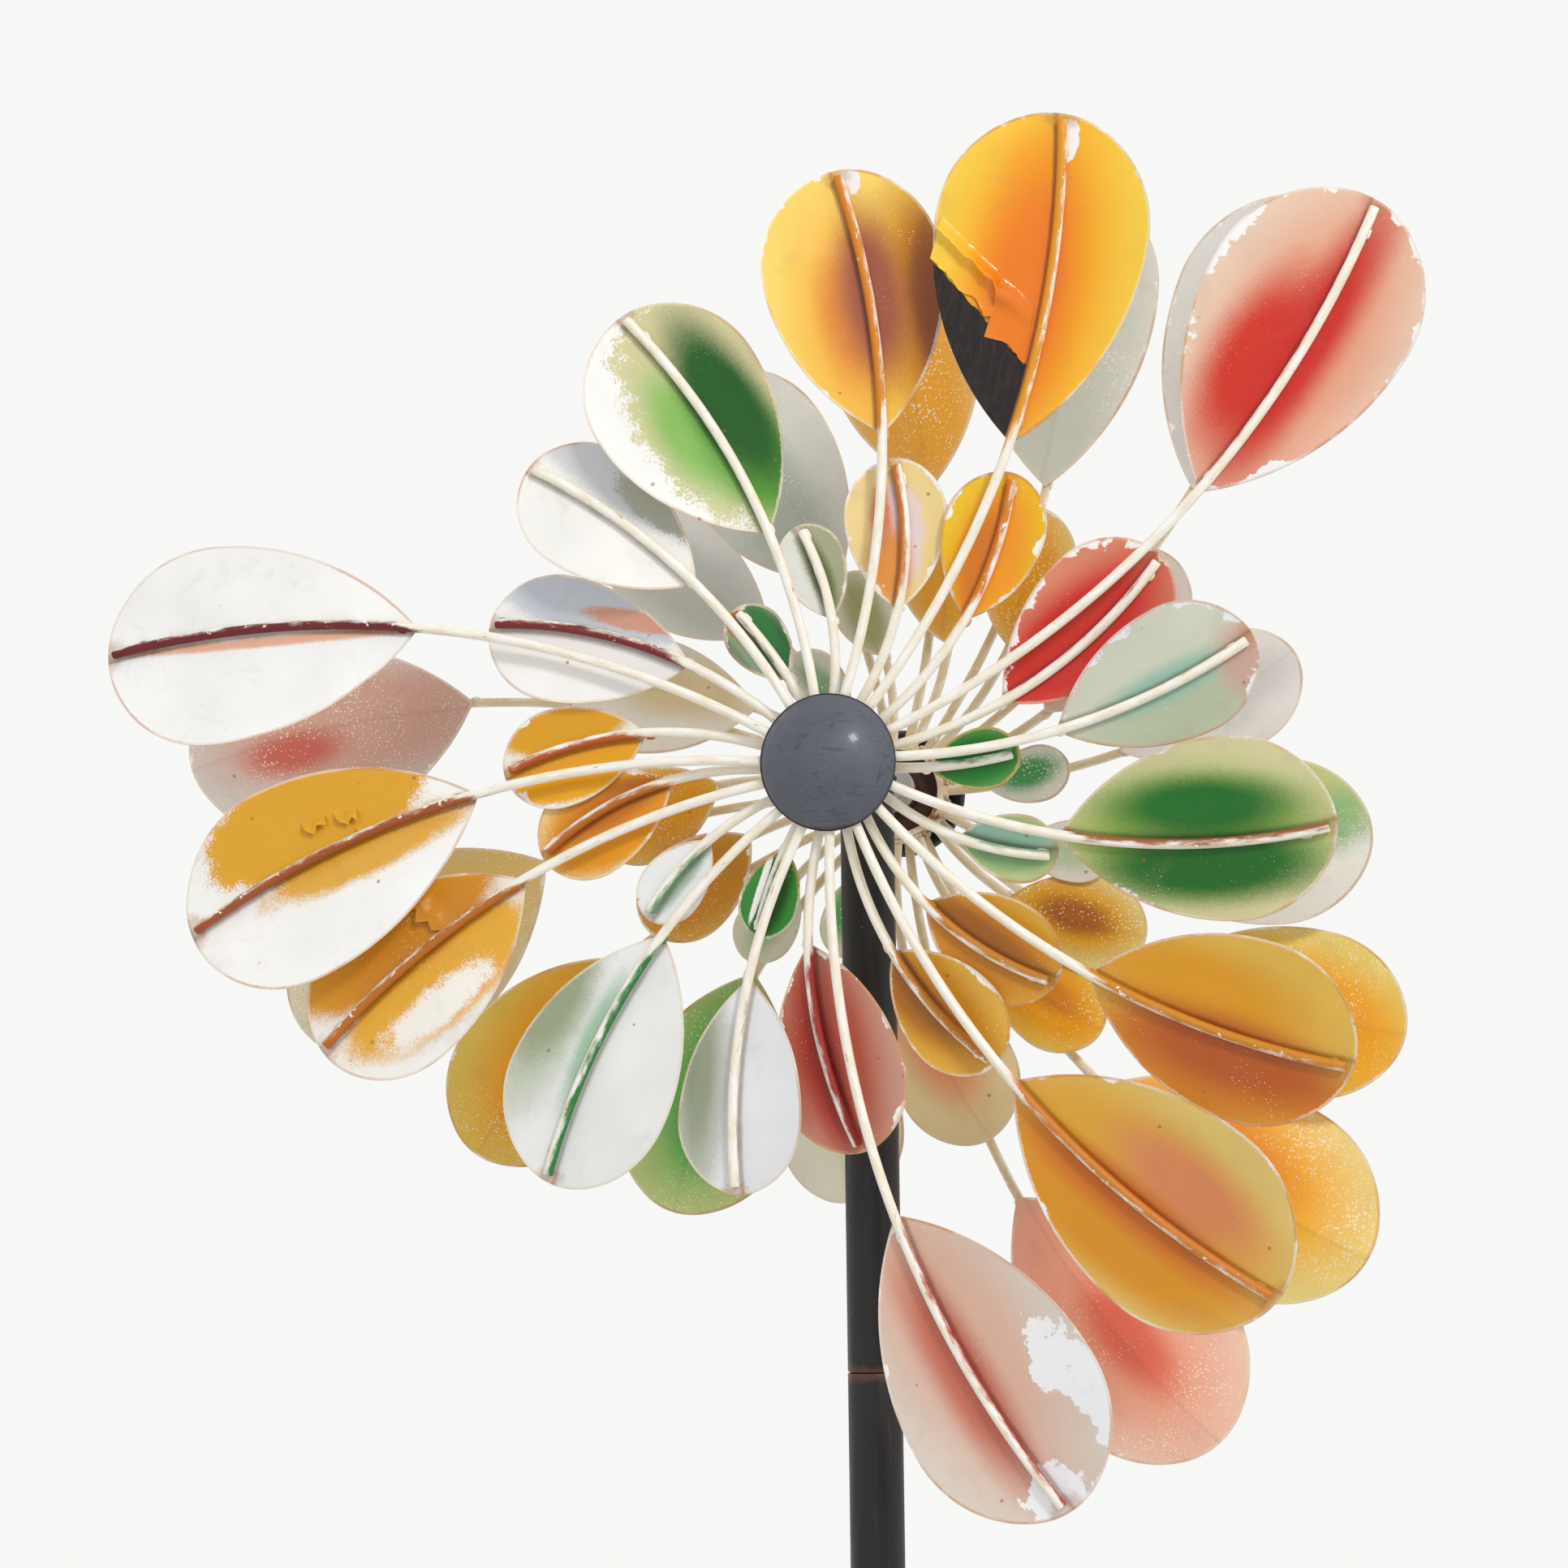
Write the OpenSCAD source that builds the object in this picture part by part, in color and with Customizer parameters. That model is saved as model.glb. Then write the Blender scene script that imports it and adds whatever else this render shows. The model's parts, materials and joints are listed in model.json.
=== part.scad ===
// Kinetic wind sculpture: two counter-turning rotors of painted sheet petals on bent wire stems,
// on one horizontal axle at the top of a sectional garden pole with a pronged ground stake.
// Millimetres. +Z is up, the axle runs along Y, the front rotor is on the -Y side.
// The origin is on the pole's centre line at ground level, at the top of the buried spike.

/* [Pole] */
// Height of the rotor axle above the ground
axle_height = 1400; // [1200:10:1700]
// Outer diameter of the pole tubes
pole_d = 22; // [20:0.5:27]
// Wall of the pole tubes
pole_wall = 1.5; // [1.2:0.1:2]
// Length of the head post below the axle
head_post_len = 240; // [180:5:320]
// Visible length of each of the two loose pole sections
section_len = 460; // [350:5:540]
// Length of the reduced end that slips into the tube above
spigot_len = 60; // [40:5:90]
// Gap between a spigot and the tube around it
slip_gap = 0.15; // [0.1:0.05:0.3]

/* [Stake] */
// Diameter of the middle spike
spike_d = 12; // [10:0.5:16]
// Straight length of the middle spike below the ground
spike_len = 200; // [150:5:260]
// Diameter of the two side prongs
prong_d = 9; // [7:0.5:12]
// Straight length of the side prongs below the ground
prong_len = 150; // [100:5:220]
// Distance between the side prongs
prong_span = 150; // [110:5:190]
// Width of the step bar
step_bar_w = 30; // [30:1:40]
// Thickness of the step bar
step_bar_t = 5; // [4:0.5:8]

/* [Axle] */
// Diameter of the axle rod
axle_d = 8; // [6:0.5:10]
// Outer diameter of the axle housing
housing_d = 19; // [16:0.5:22]
// Half the length of the axle housing
housing_half = 58; // [50:1:70]
// Thickness of each washer
washer_t = 1.5; // [1:0.1:2.5]
// Outer diameter of the washers and the bush flanges
washer_d = 16; // [14:0.5:18]
// Running gap between a washer and the bush flange beside it
end_gap = 0.3; // [0.3:0.05:0.6]
// Radial running gap between the axle and a bush
run_gap = 0.05; // [0.02:0.01:0.08]
// Wall of the bronze bushes
bush_wall = 2; // [1.5:0.1:3]
// Thickness of the bush flanges
bush_flange = 2; // [1.5:0.1:3]
// Width across the flats of the lock nuts
nut_flats = 13; // [11:0.5:16]
// Thickness of the lock nuts
nut_t = 6.5; // [5:0.5:8]

/* [Hub] */
// Outer diameter of the hub ring that the stems are welded to
hub_d = 40; // [36:1:44]
// Wall of the hub ring
hub_wall = 2.5; // [1.5:0.1:3]
// Length of the boss that holds the bushes
boss_len = 16; // [14:0.5:20]
// Thickness of the web between the boss and the ring
web_t = 2; // [1.5:0.1:3]
// Diameter of the domed cap
dome_d = 54; // [50:1:64]
// Height of the domed cap
dome_h = 15; // [13:0.5:20]
// Thickness of the domed cap
dome_t = 1.2; // [1:0.1:2]

/* [Stems] */
// Diameter of the stem wire
wire_d = 4; // [3.5:0.1:5.2]
// Gap along the axle between the inner and outer rows of stems
row_gap = 2.4; // [2:0.1:4]
// Angle of the first outer stem where it leaves the hub, degrees
first_outer = 126.5; // [120:0.5:130]
// Angle of the first inner stem where it leaves the hub, degrees
first_inner = 115; // [108:0.5:118]
// Turn of the rear rotor against the front one at rest, degrees
rear_turn = 5; // [0:1:20]

/* [Petals] */
// Thickness of the petal sheet
sheet_t = 1; // [0.8:0.1:1.5]
// Distance of the fold from the stem's centre line
fold_off = 2.6; // [2.4:0.1:3.2]
// How far each side of a petal rises from the fold, outer petals, degrees
outer_fold = 7; // [3:1:10]
// Pitch of the outer petals, degrees
outer_pitch = 10; // [4:1:12]
// How far each side of a petal rises from the fold, inner petals, degrees
inner_fold = 5; // [2:1:7]
// Pitch of the inner petals, degrees
inner_pitch = 5; // [2:1:7]
// Length of petal beyond the end of its stem
tip_lip = 3; // [2:0.5:5]

/* [Hidden] */
$fn = 96;
SWEEPS = ["a", "b", "c"];
ROTORS = ["front", "rear"];
sweeps = len(SWEEPS);
stems_in_row = 5;
// Outer stems are spaced evenly all the way round, and so are inner ones.
stem_step = 360 / (sweeps * stems_in_row);

// Petal sizes as length and width: tiny, small, medium, large, extra large.
TINY = [36, 24];
SMALL = [60, 40];
MEDIUM = [84, 51];
LARGE = [107, 70];
EXTRA = [131, 82];

// One sweep, stem by stem: radius of the stem's tip, radius that the wire is bent to,
// how far it leans back from straight out where it leaves the hub in degrees, and petal size.
OUTER = [
    [169, 255, 7, MEDIUM],
    [196, 275, 7, LARGE],
    [232, 330, 8, LARGE],
    [267, 370, 3, EXTRA],
    [300, 385, 4, EXTRA]
];
INNER = [
    [71, 165, 0, TINY],
    [93, 110, 12, TINY * 1.1],
    [120, 120, 14, SMALL],
    [131, 145, 6, SMALL],
    [149, 180, 5, MEDIUM]
];

// How far each stem has been knocked round since it was made, in degrees: front rotor, then rear.
OUTER_SET = [
    [[-1, 1, 0, -1, -3], [-1, -2, 0, -1, 0], [1, 1, -1, 3, 3]],
    [[-4, -3, -2, -2, 2], [-4, -5, -1, -2, 3], [0, 1, 4, 3, 3]]
];
INNER_SET = [
    [[0, 0, 1, -1, -3], [0, -1, -2, 0, 0], [3, 0, -1, 2, 3]],
    [[0, 0, 0, -1, 0], [0, 0, 6, 6, 5], [3, 4, 5, 4, 2]]
];

// How much longer each outer stem was cut than the list above says, front rotor, then rear.
OUTER_EXTRA = [
    [[0, 0, 0, 0, 0], [0, 0, 0, 0, 0], [0, 0, 0, 0, 0]],
    [[0, 0, 0, 0, 0], [5, 1, 1, 7, 0], [3, 4, 6, 13, 14]]
];

// Stems of the inner row whose petals share a colour, and so a node.
INNER_GROUPS = [["green", [0]], ["pale", [1]], ["amber", [2, 3]], ["red", [4]]];
OUTER_COLOURS = ["gainsboro", "seagreen", "goldenrod", "orange", "indianred"];
INNER_COLOURS = ["seagreen", "darkseagreen", "goldenrod", "orange", "indianred"];

wire_r = wire_d / 2;
// How far a weld draws one piece into the next: petal into stem, stem into hub ring.
petal_sink = 0.15;
stem_sink = 0.2;
// Radial gap of the domed cap's collar in the hub ring, and how deep it goes in.
cap_fit = 0.05;
collar_grip = 5;
// How much further a cutting shape reaches than the piece it cuts.
over = 1;
hub_r = hub_d / 2;
stem_start = hub_r - stem_sink;
pole_r = pole_d / 2;
pole_bore = pole_r - pole_wall;
spigot_r = pole_bore - slip_gap;
washer_gap = 0.2;
washer_bore = axle_d / 2 + washer_gap;

// Places along the axle, measured outward from the pole's centre line.
boss_start = housing_half + washer_t + end_gap + bush_flange;
boss_end = boss_start + boss_len;
outer_washer = boss_end + bush_flange + end_gap;
nut_start = outer_washer + washer_t;
axle_spare = 2;
axle_half = nut_start + nut_t + axle_spare;
ring_start = boss_start + 3.7;
ring_lip = 2.7;
inner_row = ring_start + ring_lip + wire_r;
outer_row = inner_row + wire_d + row_gap;
ring_end = outer_row + wire_r + 2;
web_start = inner_row + 1;
dome_lift = 0.7;
dome_rim = outer_row + wire_r + dome_lift;
dome_ball = (dome_d * dome_d / 4 + dome_h * dome_h) / (2 * dome_h);
dome_centre = dome_rim + dome_h - dome_ball;
bush_r = axle_d / 2 + run_gap + bush_wall;
boss_r = bush_r + 3;

function inner_nodes(rotor) = [for (g = INNER_GROUPS) str(rotor, "_inner_petals_", g[0])];
function outer_nodes(rotor) =
    [for (s = SWEEPS) for (k = [1:stems_in_row]) str(rotor, "_outer_petal_", s, k)];
function stem_nodes(rotor) = [for (s = SWEEPS) str(rotor, "_stems_", s)];
function hub_nodes(rotor) = [for (n = ["dome", "hub", "bushes"]) str(rotor, "_", n)];

// A stem leaves the hub near +X, leaning back a little, and bends round towards +Y in one arc.
// These give the arc's centre, the swing along the arc to a radius from the axle, and points on it.
function bend_centre(bend, lean) = [stem_start + bend * sin(lean), bend * cos(lean)];
function swing_to(r, bend, lean) =
    let (c = bend_centre(bend, lean))
        atan2(c[1], c[0]) + asin((r * r - c * c - bend * bend) / (2 * bend * norm(c))) + lean;
function on_stem(bend, lean, swing) =
    bend_centre(bend, lean) + bend * [sin(swing - lean), -cos(swing - lean)];

// Outer stem k of sweep s as it was cut for rotor r.
function outer_stem(r, s, k) =
    [OUTER[k][0] + OUTER_EXTRA[r][s][k], OUTER[k][1], OUTER[k][2], OUTER[k][3]];

// Turns everything drawn along +X to the bearing of stem k in sweep s.
module at_stem(first, set, s, k) {
    rotate([0, 0, first - stem_step * k - 360 / sweeps * s + set[s][k]])
        children();
}

// Sweeps a section round the centre of a stem's bend, from one swing to another.
module along_bend(bend, lean, from, to) {
    translate(bend_centre(bend, lean))
        rotate([0, 0, from - lean - 90])
            rotate_extrude(angle = to - from, $fn = 360)
                children();
}

// The wire of one stem.
module wire(stem) {
    along_bend(stem[1], stem[2], 0, swing_to(stem[0], stem[1], stem[2]))
        translate([stem[1], 0])
            circle(r = wire_r, $fn = 24);
}

// Outline of a petal along +X: a long point, full shoulders and a round outer end.
module outline(size) {
    r = size[1] / 2;
    shoulder_len = 1.12 * r;
    nose_r = 0.8 * r;
    nose_x = shoulder_len - nose_r;
    point_len = size[0] - shoulder_len;
    point_r = (point_len * point_len + r * r) / (2 * r);
    shoulder_r = (nose_x * nose_x / (r - nose_r) + r + nose_r) / 2;
    meet_x = nose_x * shoulder_r / (shoulder_r - nose_r);
    translate([point_len, 0]) {
        intersection() {
            lens(point_r, r);
            translate([-point_len, -r])
                square([point_len, 2 * r]);
        }
        intersection() {
            lens(shoulder_r, r);
            translate([0, -r])
                square([meet_x, 2 * r]);
        }
        intersection() {
            translate([nose_x, 0])
                circle(r = nose_r);
            translate([meet_x, -r])
                square([size[0], 2 * r]);
        }
    }
}

// Two equal arcs of radius r_arc that meet above and below the X axis, r apart from it at x = 0.
module lens(r_arc, r) {
    intersection() {
        translate([0, r - r_arc])
            circle(r = r_arc, $fn = 360);
        translate([0, r_arc - r])
            circle(r = r_arc, $fn = 360);
    }
}

// Cross-section of the folded sheet: x is the distance from the bend's centre, y is along the axle.
module folded_section(bend, half_w, near_rise, far_rise) {
    fold_x = bend - fold_off;
    fold_y = -wire_r + petal_sink - fold_off * tan(far_rise);
    spare = 8;
    near = half_w + spare;
    far = half_w + spare;
    polygon([
        [fold_x - near, fold_y + near * tan(near_rise)],
        [fold_x, fold_y],
        [fold_x + far, fold_y + far * tan(far_rise)],
        [fold_x + far, fold_y + far * tan(far_rise) - sheet_t],
        [fold_x, fold_y - sheet_t],
        [fold_x - near, fold_y + near * tan(near_rise) - sheet_t]
    ]);
}

// One petal behind its stem. The fold follows the stem's arc, just inside it, and the outline's
// own axis is the straight line between the two places on the stem where the petal begins and ends.
module petal(stem, fold, pitch) {
    bend = stem[1];
    lean = stem[2];
    size = stem[3];
    swing_spare = 12;
    end_swing = swing_to(stem[0] + tip_lip, bend, lean);
    base_swing = end_swing - 2 * asin(size[0] / (2 * bend));
    base = on_stem(bend, lean, base_swing);
    end = on_stem(bend, lean, end_swing);
    intersection() {
        translate([base[0], base[1], -size[1]])
            rotate([0, 0, atan2(end[1] - base[1], end[0] - base[0])])
                linear_extrude(2 * size[1])
                    outline(size);
        along_bend(bend, lean, base_swing - swing_spare, end_swing + swing_spare)
            folded_section(bend, size[1] / 2, fold + pitch, fold - pitch);
    }
}

// Puts a rotor drawn outward along +Z at the front, or its mirror image at the rear.
module placed(r) {
    translate([0, 0, axle_height])
        if (r == 0)
            rotate([90, 0, 0])
                children();
        else
            mirror([0, 1, 0])
                rotate([90, 0, 0])
                    rotate([0, 0, rear_turn])
                        children();
}

module stems(r, s) {
    color("ivory")
        for (k = [0:stems_in_row - 1]) {
            at_stem(first_outer, OUTER_SET[r], s, k)
                translate([0, 0, outer_row])
                    wire(outer_stem(r, s, k));
            at_stem(first_inner, INNER_SET[r], s, k)
                translate([0, 0, inner_row])
                    wire(INNER[k]);
        }
}

module outer_petal(r, s, k) {
    color(OUTER_COLOURS[k])
        at_stem(first_outer, OUTER_SET[r], s, k)
            translate([0, 0, outer_row])
                petal(outer_stem(r, s, k), outer_fold, outer_pitch);
}

module inner_petals(r, members) {
    for (s = [0:sweeps - 1])
        for (k = members)
            color(INNER_COLOURS[k])
                at_stem(first_inner, INNER_SET[r], s, k)
                    translate([0, 0, inner_row])
                        petal(INNER[k], inner_fold, inner_pitch);
}

// Ring with a recessed web and a long boss for the two bushes, turned as one piece.
module hub() {
    color("linen")
        rotate_extrude() {
            translate([hub_r - hub_wall, ring_start])
                square([hub_wall, ring_end - ring_start]);
            translate([bush_r, boss_start])
                square([boss_r - bush_r, boss_len]);
            translate([bush_r, web_start])
                square([hub_r - bush_r, web_t]);
        }
}

// Two flanged bronze bushes pressed into the boss from both ends.
module bushes() {
    color("peru") {
        bush();
        translate([0, 0, boss_start + boss_end])
            mirror([0, 0, 1])
                bush();
    }
}

module bush() {
    half_groove = 1;
    bush_len = boss_len / 2 - half_groove;
    bore_r = axle_d / 2 + run_gap;
    translate([0, 0, boss_start])
        difference() {
            union() {
                cylinder(r = bush_r, h = bush_len);
                translate([0, 0, -bush_flange])
                    cylinder(d = washer_d, h = bush_flange);
            }
            translate([0, 0, -bush_flange - over])
                cylinder(r = bore_r, h = bush_len + bush_flange + 2 * over);
        }
}

// Thin domed cap with a collar that pushes into the hub ring.
module dome() {
    collar_r = hub_r - hub_wall - cap_fit;
    collar_t = 1.5;
    collar_start = ring_end - collar_grip;
    color("dimgray")
        rotate_extrude($fn = 128) {
            intersection() {
                difference() {
                    translate([0, dome_centre])
                        circle(r = dome_ball, $fn = 360);
                    translate([0, dome_centre])
                        circle(r = dome_ball - dome_t, $fn = 360);
                }
                translate([0, dome_rim])
                    square([dome_d, 2 * dome_h]);
            }
            intersection() {
                translate([collar_r - collar_t, collar_start])
                    square([collar_t, dome_rim + dome_h - collar_start]);
                translate([0, dome_centre])
                    circle(r = dome_ball - dome_t / 2, $fn = 360);
            }
        }
}

module axle() {
    color("silver")
        translate([0, 0, axle_height])
            rotate([90, 0, 0])
                cylinder(d = axle_d, h = 2 * axle_half, center = true);
}

module axle_housing() {
    color("lightgray")
        translate([0, 0, axle_height])
            rotate([90, 0, 0])
                difference() {
                    cylinder(d = housing_d, h = 2 * housing_half, center = true);
                    cylinder(r = washer_bore, h = 2 * (housing_half + over), center = true);
                }
}

// Four equal washers, one each side of both rotors.
module washers() {
    color("silver")
        for (side = [0, 180], start = [housing_half, outer_washer])
            translate([0, 0, axle_height])
                rotate([90, 0, side])
                    translate([0, 0, start])
                        difference() {
                            cylinder(d = washer_d, h = washer_t);
                            translate([0, 0, -over])
                                cylinder(r = washer_bore, h = washer_t + 2 * over);
                        }
}

module lock_nuts() {
    color("silver")
        for (side = [0, 180])
            translate([0, 0, axle_height])
                rotate([90, 0, side])
                    translate([0, 0, nut_start])
                        difference() {
                            cylinder(d = nut_flats / cos(30), h = nut_t, $fn = 6);
                            translate([0, 0, -over])
                                cylinder(d = axle_d, h = nut_t + 2 * over);
                        }
}

// Top tube of the pole, coped over the axle housing and welded to it.
module head_post() {
    color("darkslategray")
        translate([0, 0, axle_height - head_post_len])
            difference() {
                cylinder(r = pole_r, h = head_post_len);
                translate([0, 0, -over])
                    cylinder(r = pole_bore, h = head_post_len + 2 * over);
                translate([0, 0, head_post_len])
                    rotate([90, 0, 0])
                        cylinder(d = housing_d, h = pole_d + 2 * over, center = true);
            }
}

// A pole tube with its top end swaged down to slip into the tube above it.
module tube_with_spigot(len) {
    neck = 6;
    difference() {
        union() {
            cylinder(r = pole_r, h = len);
            cylinder(r = spigot_r, h = len + spigot_len);
        }
        translate([0, 0, -over])
            cylinder(r = pole_bore, h = len - neck + over);
        translate([0, 0, -over])
            cylinder(r = spigot_r - pole_wall, h = len + spigot_len + 2 * over);
    }
}

module upper_pole() {
    color("darkslategray")
        translate([0, 0, axle_height - head_post_len - section_len])
            tube_with_spigot(section_len);
}

module lower_pole() {
    color("darkslategray")
        translate([0, 0, axle_height - head_post_len - 2 * section_len])
            tube_with_spigot(section_len);
}

// Bottom tube with its spigot, plugged by the pointed middle spike.
module ground_stake() {
    stub_len = axle_height - head_post_len - 2 * section_len;
    plug_len = 40;
    color("darkslategray") {
        tube_with_spigot(stub_len);
        pointed_rod(spike_d, spike_len);
        cylinder(r = pole_bore, h = plug_len);
    }
}

// Rod from the ground level down to a conical point.
module pointed_rod(d, len) {
    point_len = 2 * d;
    blunt_r = 0.5;
    translate([0, 0, -len])
        cylinder(d = d, h = len);
    translate([0, 0, -len - point_len])
        cylinder(r1 = blunt_r, r2 = d / 2, h = point_len);
}

// Flat bar to step on, welded round the bottom tube, with a prong under each end.
module step_bar() {
    color("darkslategray") {
        difference() {
            translate([-prong_span / 2 - step_bar_w / 2, -step_bar_w / 2, 0])
                cube([prong_span + step_bar_w, step_bar_w, step_bar_t]);
            translate([0, 0, -over])
                cylinder(r = pole_r, h = step_bar_t + 2 * over);
        }
        for (side = [-1, 1])
            translate([side * prong_span / 2, 0, 0])
                pointed_rod(prong_d, prong_len);
    }
}

ground_stake();
step_bar();
lower_pole();
upper_pole();
head_post();
axle_housing();
axle();
washers();
lock_nuts();
for (r = [0, 1]) {
    placed(r) dome();
    placed(r) hub();
    placed(r) bushes();
    for (s = [0:sweeps - 1]) {
        placed(r) stems(r, s);
        for (k = [0:stems_in_row - 1])
            placed(r) outer_petal(r, s, k);
    }
    for (g = INNER_GROUPS)
        placed(r) inner_petals(r, g[1]);
}
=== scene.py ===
import json
import math

import bmesh
import bpy
import numpy as np
from mathutils import Matrix, Vector, noise


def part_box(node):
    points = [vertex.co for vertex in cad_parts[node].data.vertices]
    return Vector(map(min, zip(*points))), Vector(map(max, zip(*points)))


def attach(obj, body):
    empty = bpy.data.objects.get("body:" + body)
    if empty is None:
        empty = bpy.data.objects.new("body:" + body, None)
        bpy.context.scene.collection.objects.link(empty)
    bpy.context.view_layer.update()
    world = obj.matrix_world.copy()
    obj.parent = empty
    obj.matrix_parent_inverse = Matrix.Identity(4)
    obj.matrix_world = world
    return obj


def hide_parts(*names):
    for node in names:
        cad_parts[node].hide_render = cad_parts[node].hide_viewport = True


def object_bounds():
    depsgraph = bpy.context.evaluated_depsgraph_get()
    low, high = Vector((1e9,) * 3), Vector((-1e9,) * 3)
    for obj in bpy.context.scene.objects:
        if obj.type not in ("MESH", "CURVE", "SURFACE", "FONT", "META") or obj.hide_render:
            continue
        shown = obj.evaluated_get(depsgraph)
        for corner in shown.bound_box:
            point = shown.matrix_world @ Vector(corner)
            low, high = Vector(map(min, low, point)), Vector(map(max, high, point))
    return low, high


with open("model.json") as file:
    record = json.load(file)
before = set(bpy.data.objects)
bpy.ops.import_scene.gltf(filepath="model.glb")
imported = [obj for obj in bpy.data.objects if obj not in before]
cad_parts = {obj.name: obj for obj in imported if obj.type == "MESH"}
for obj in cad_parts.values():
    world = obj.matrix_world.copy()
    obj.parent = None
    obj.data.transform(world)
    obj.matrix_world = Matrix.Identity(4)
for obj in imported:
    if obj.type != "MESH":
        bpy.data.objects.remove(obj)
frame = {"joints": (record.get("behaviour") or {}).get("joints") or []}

MM = 0.001
CAD_BOX = [list(map(float, corner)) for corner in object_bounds()]

# ---------------------------------------------------------------- sizes, from the frame


def span(node):
    """A node's lowest and highest corners in millimetres."""
    low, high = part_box(node)
    return np.array(low) / MM, np.array(high) / MM


axle_z = frame["joints"][0]["pos_m"][2] / MM
hub_low, hub_high = span("front_hub")
stems_low, stems_high = span("front_stems_a")
dome_low, dome_high = span("front_dome")
housing_low, housing_high = span("axle_housing")
axle_low, axle_high = span("axle")
post_low, post_high = span("head_post")
upper_low, upper_high = span("upper_pole")
lower_low = span("lower_pole")[0]
stake_low, stake_high = span("ground_stake")
bar_low, bar_high = span("step_bar")
washers_high = span("washers")[1]
bushes_high = span("front_bushes")[1]

# Small sizes that a node's box doesn't show.
ROW_GAP = 2.4
WIRE_R = (stems_high[1] - stems_low[1] - ROW_GAP) / 4
ROOT_SINK = 0.2
SHEET_T = 1.0
FOLD_OFF = 2.6
PETAL_SINK = 0.15
TIP_LIP = 3.0
HUB_WALL = 2.5
WEB_T = 2.0
BOSS_WALL = 3.0
BOSS_LEN = 16.0
BUSH_WALL = 2.0
BUSH_FLANGE = 2.0
BUSH_LEN = 9.0
RUN_GAP = 0.05
CAP_T = 1.2
CAP_GAP = 0.7
WASHER_R = 8.0
WASHER_T = 1.5
WASHER_GAP = 0.2
NUT_HALF = 6.5
NUT_T = 6.5
THREAD_PITCH = 1.25
THREAD_LEN = 12.0
POLE_WALL = 1.5
SLIP_GAP = 0.15
JOINT_GAP = 0.25
SPIKE_R = 6.0
PRONG_R = 4.5
PRONG_X = 75.0

hub_r = (hub_high[0] - hub_low[0]) / 2
hub_bore = hub_r - HUB_WALL
stem_start = hub_r - ROOT_SINK
outer_row = -stems_low[1] - WIRE_R
inner_row = -stems_high[1] + WIRE_R
dome_r = (dome_high[0] - dome_low[0]) / 2
dome_rim = outer_row + WIRE_R + CAP_GAP
dome_h = -dome_low[1] - dome_rim
axle_r = (axle_high[0] - axle_low[0]) / 2
bush_bore = axle_r + RUN_GAP
washer_bore = axle_r + WASHER_GAP
housing_r = (housing_high[0] - housing_low[0]) / 2
housing_half = housing_high[1]
pole_r = (post_high[0] - post_low[0]) / 2
pole_bore = pole_r - POLE_WALL
spigot_r = pole_bore - SLIP_GAP

# Petal sizes: length from the point to the round end, and width.
TINY, SMALL, MEDIUM, LARGE, EXTRA = (36, 24), (60, 40), (84, 51), (107, 70), (131, 82)
SLIM_TINY = (39.6, 26.4)
# Stem by stem: radius of the tip, radius of the bend, lean at the hub in degrees, petal size.
OUTER = [(169, 255, 7, MEDIUM), (196, 275, 7, LARGE), (232, 330, 8, LARGE),
         (267, 370, 3, EXTRA), (300, 385, 4, EXTRA)]
INNER = [(71, 165, 0, TINY), (93, 110, 12, SLIM_TINY), (120, 120, 14, SMALL),
         (131, 145, 6, SMALL), (149, 180, 5, MEDIUM)]
# Degrees that each stem has been knocked round, and how much longer each outer stem was cut.
OUTER_SET = {"front": [[-1, 1, 0, -1, -3], [-1, -2, 0, -1, 0], [1, 1, -1, 3, 3]],
             "rear": [[-4, -3, -2, -2, 2], [-4, -5, -1, -2, 3], [0, 1, 4, 3, 3]]}
INNER_SET = {"front": [[0, 0, 1, -1, -3], [0, -1, -2, 0, 0], [3, 0, -1, 2, 3]],
             "rear": [[0, 0, 0, -1, 0], [0, 0, 6, 6, 5], [3, 4, 5, 4, 2]]}
OUTER_EXTRA = {"front": [[0] * 5] * 3,
               "rear": [[0, 0, 0, 0, 0], [5, 1, 1, 7, 0], [3, 4, 6, 13, 14]]}
# Bearings in degrees: of the first stem of each row, of the rear rotor against the front one, from
# stem to stem, and from sweep to sweep.
FIRST_OUTER, FIRST_INNER, REAR_TURN, STEM_STEP, SWEEP_STEP = 126.5, 115.0, 5.0, 24.0, 120
# Fold and pitch of the petals in degrees, for each row.
OUTER_TILT, INNER_TILT = (7, 10), (5, 5)

# ---------------------------------------------------------------- placing and making meshes


def on_rotor(rotor, turn=0.0):
    """Places (x, y, outward) points of a rotor, turned about the axle, in the frame."""
    angle = math.radians(turn)
    side = -1 if rotor == "front" else 1

    def place(points):
        p = np.asarray(points, float)
        x = p[:, 0] * math.cos(angle) - p[:, 1] * math.sin(angle)
        y = p[:, 0] * math.sin(angle) + p[:, 1] * math.cos(angle)
        return np.column_stack([x, side * p[:, 2], y + axle_z])

    return place


def upright(points):
    """Points that are already in the frame's own directions."""
    return np.asarray(points, float)


def make(name, verts, faces, place, material, sharp=38.0, values=None):
    """A mesh object from points in millimetres, smooth except where it bends sharply."""
    mesh = bpy.data.meshes.new(name)
    mesh.from_pydata((place(verts) * MM).tolist(), [], [list(map(int, f)) for f in faces])
    for key, (kind, data) in (values or {}).items():
        field = "vector" if kind == "FLOAT_VECTOR" else "color" if kind == "FLOAT_COLOR" else "value"
        layer = mesh.attributes.new(key, kind, "POINT")
        layer.data.foreach_set(field, np.asarray(data, np.float32).ravel())
    mesh.validate()
    mesh.update()
    mesh.polygons.foreach_set("use_smooth", [True] * len(mesh.polygons))
    mesh.set_sharp_from_angle(angle=math.radians(sharp))
    mesh.materials.append(material)
    obj = bpy.data.objects.new(name, mesh)
    bpy.context.scene.collection.objects.link(obj)
    return obj


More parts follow.
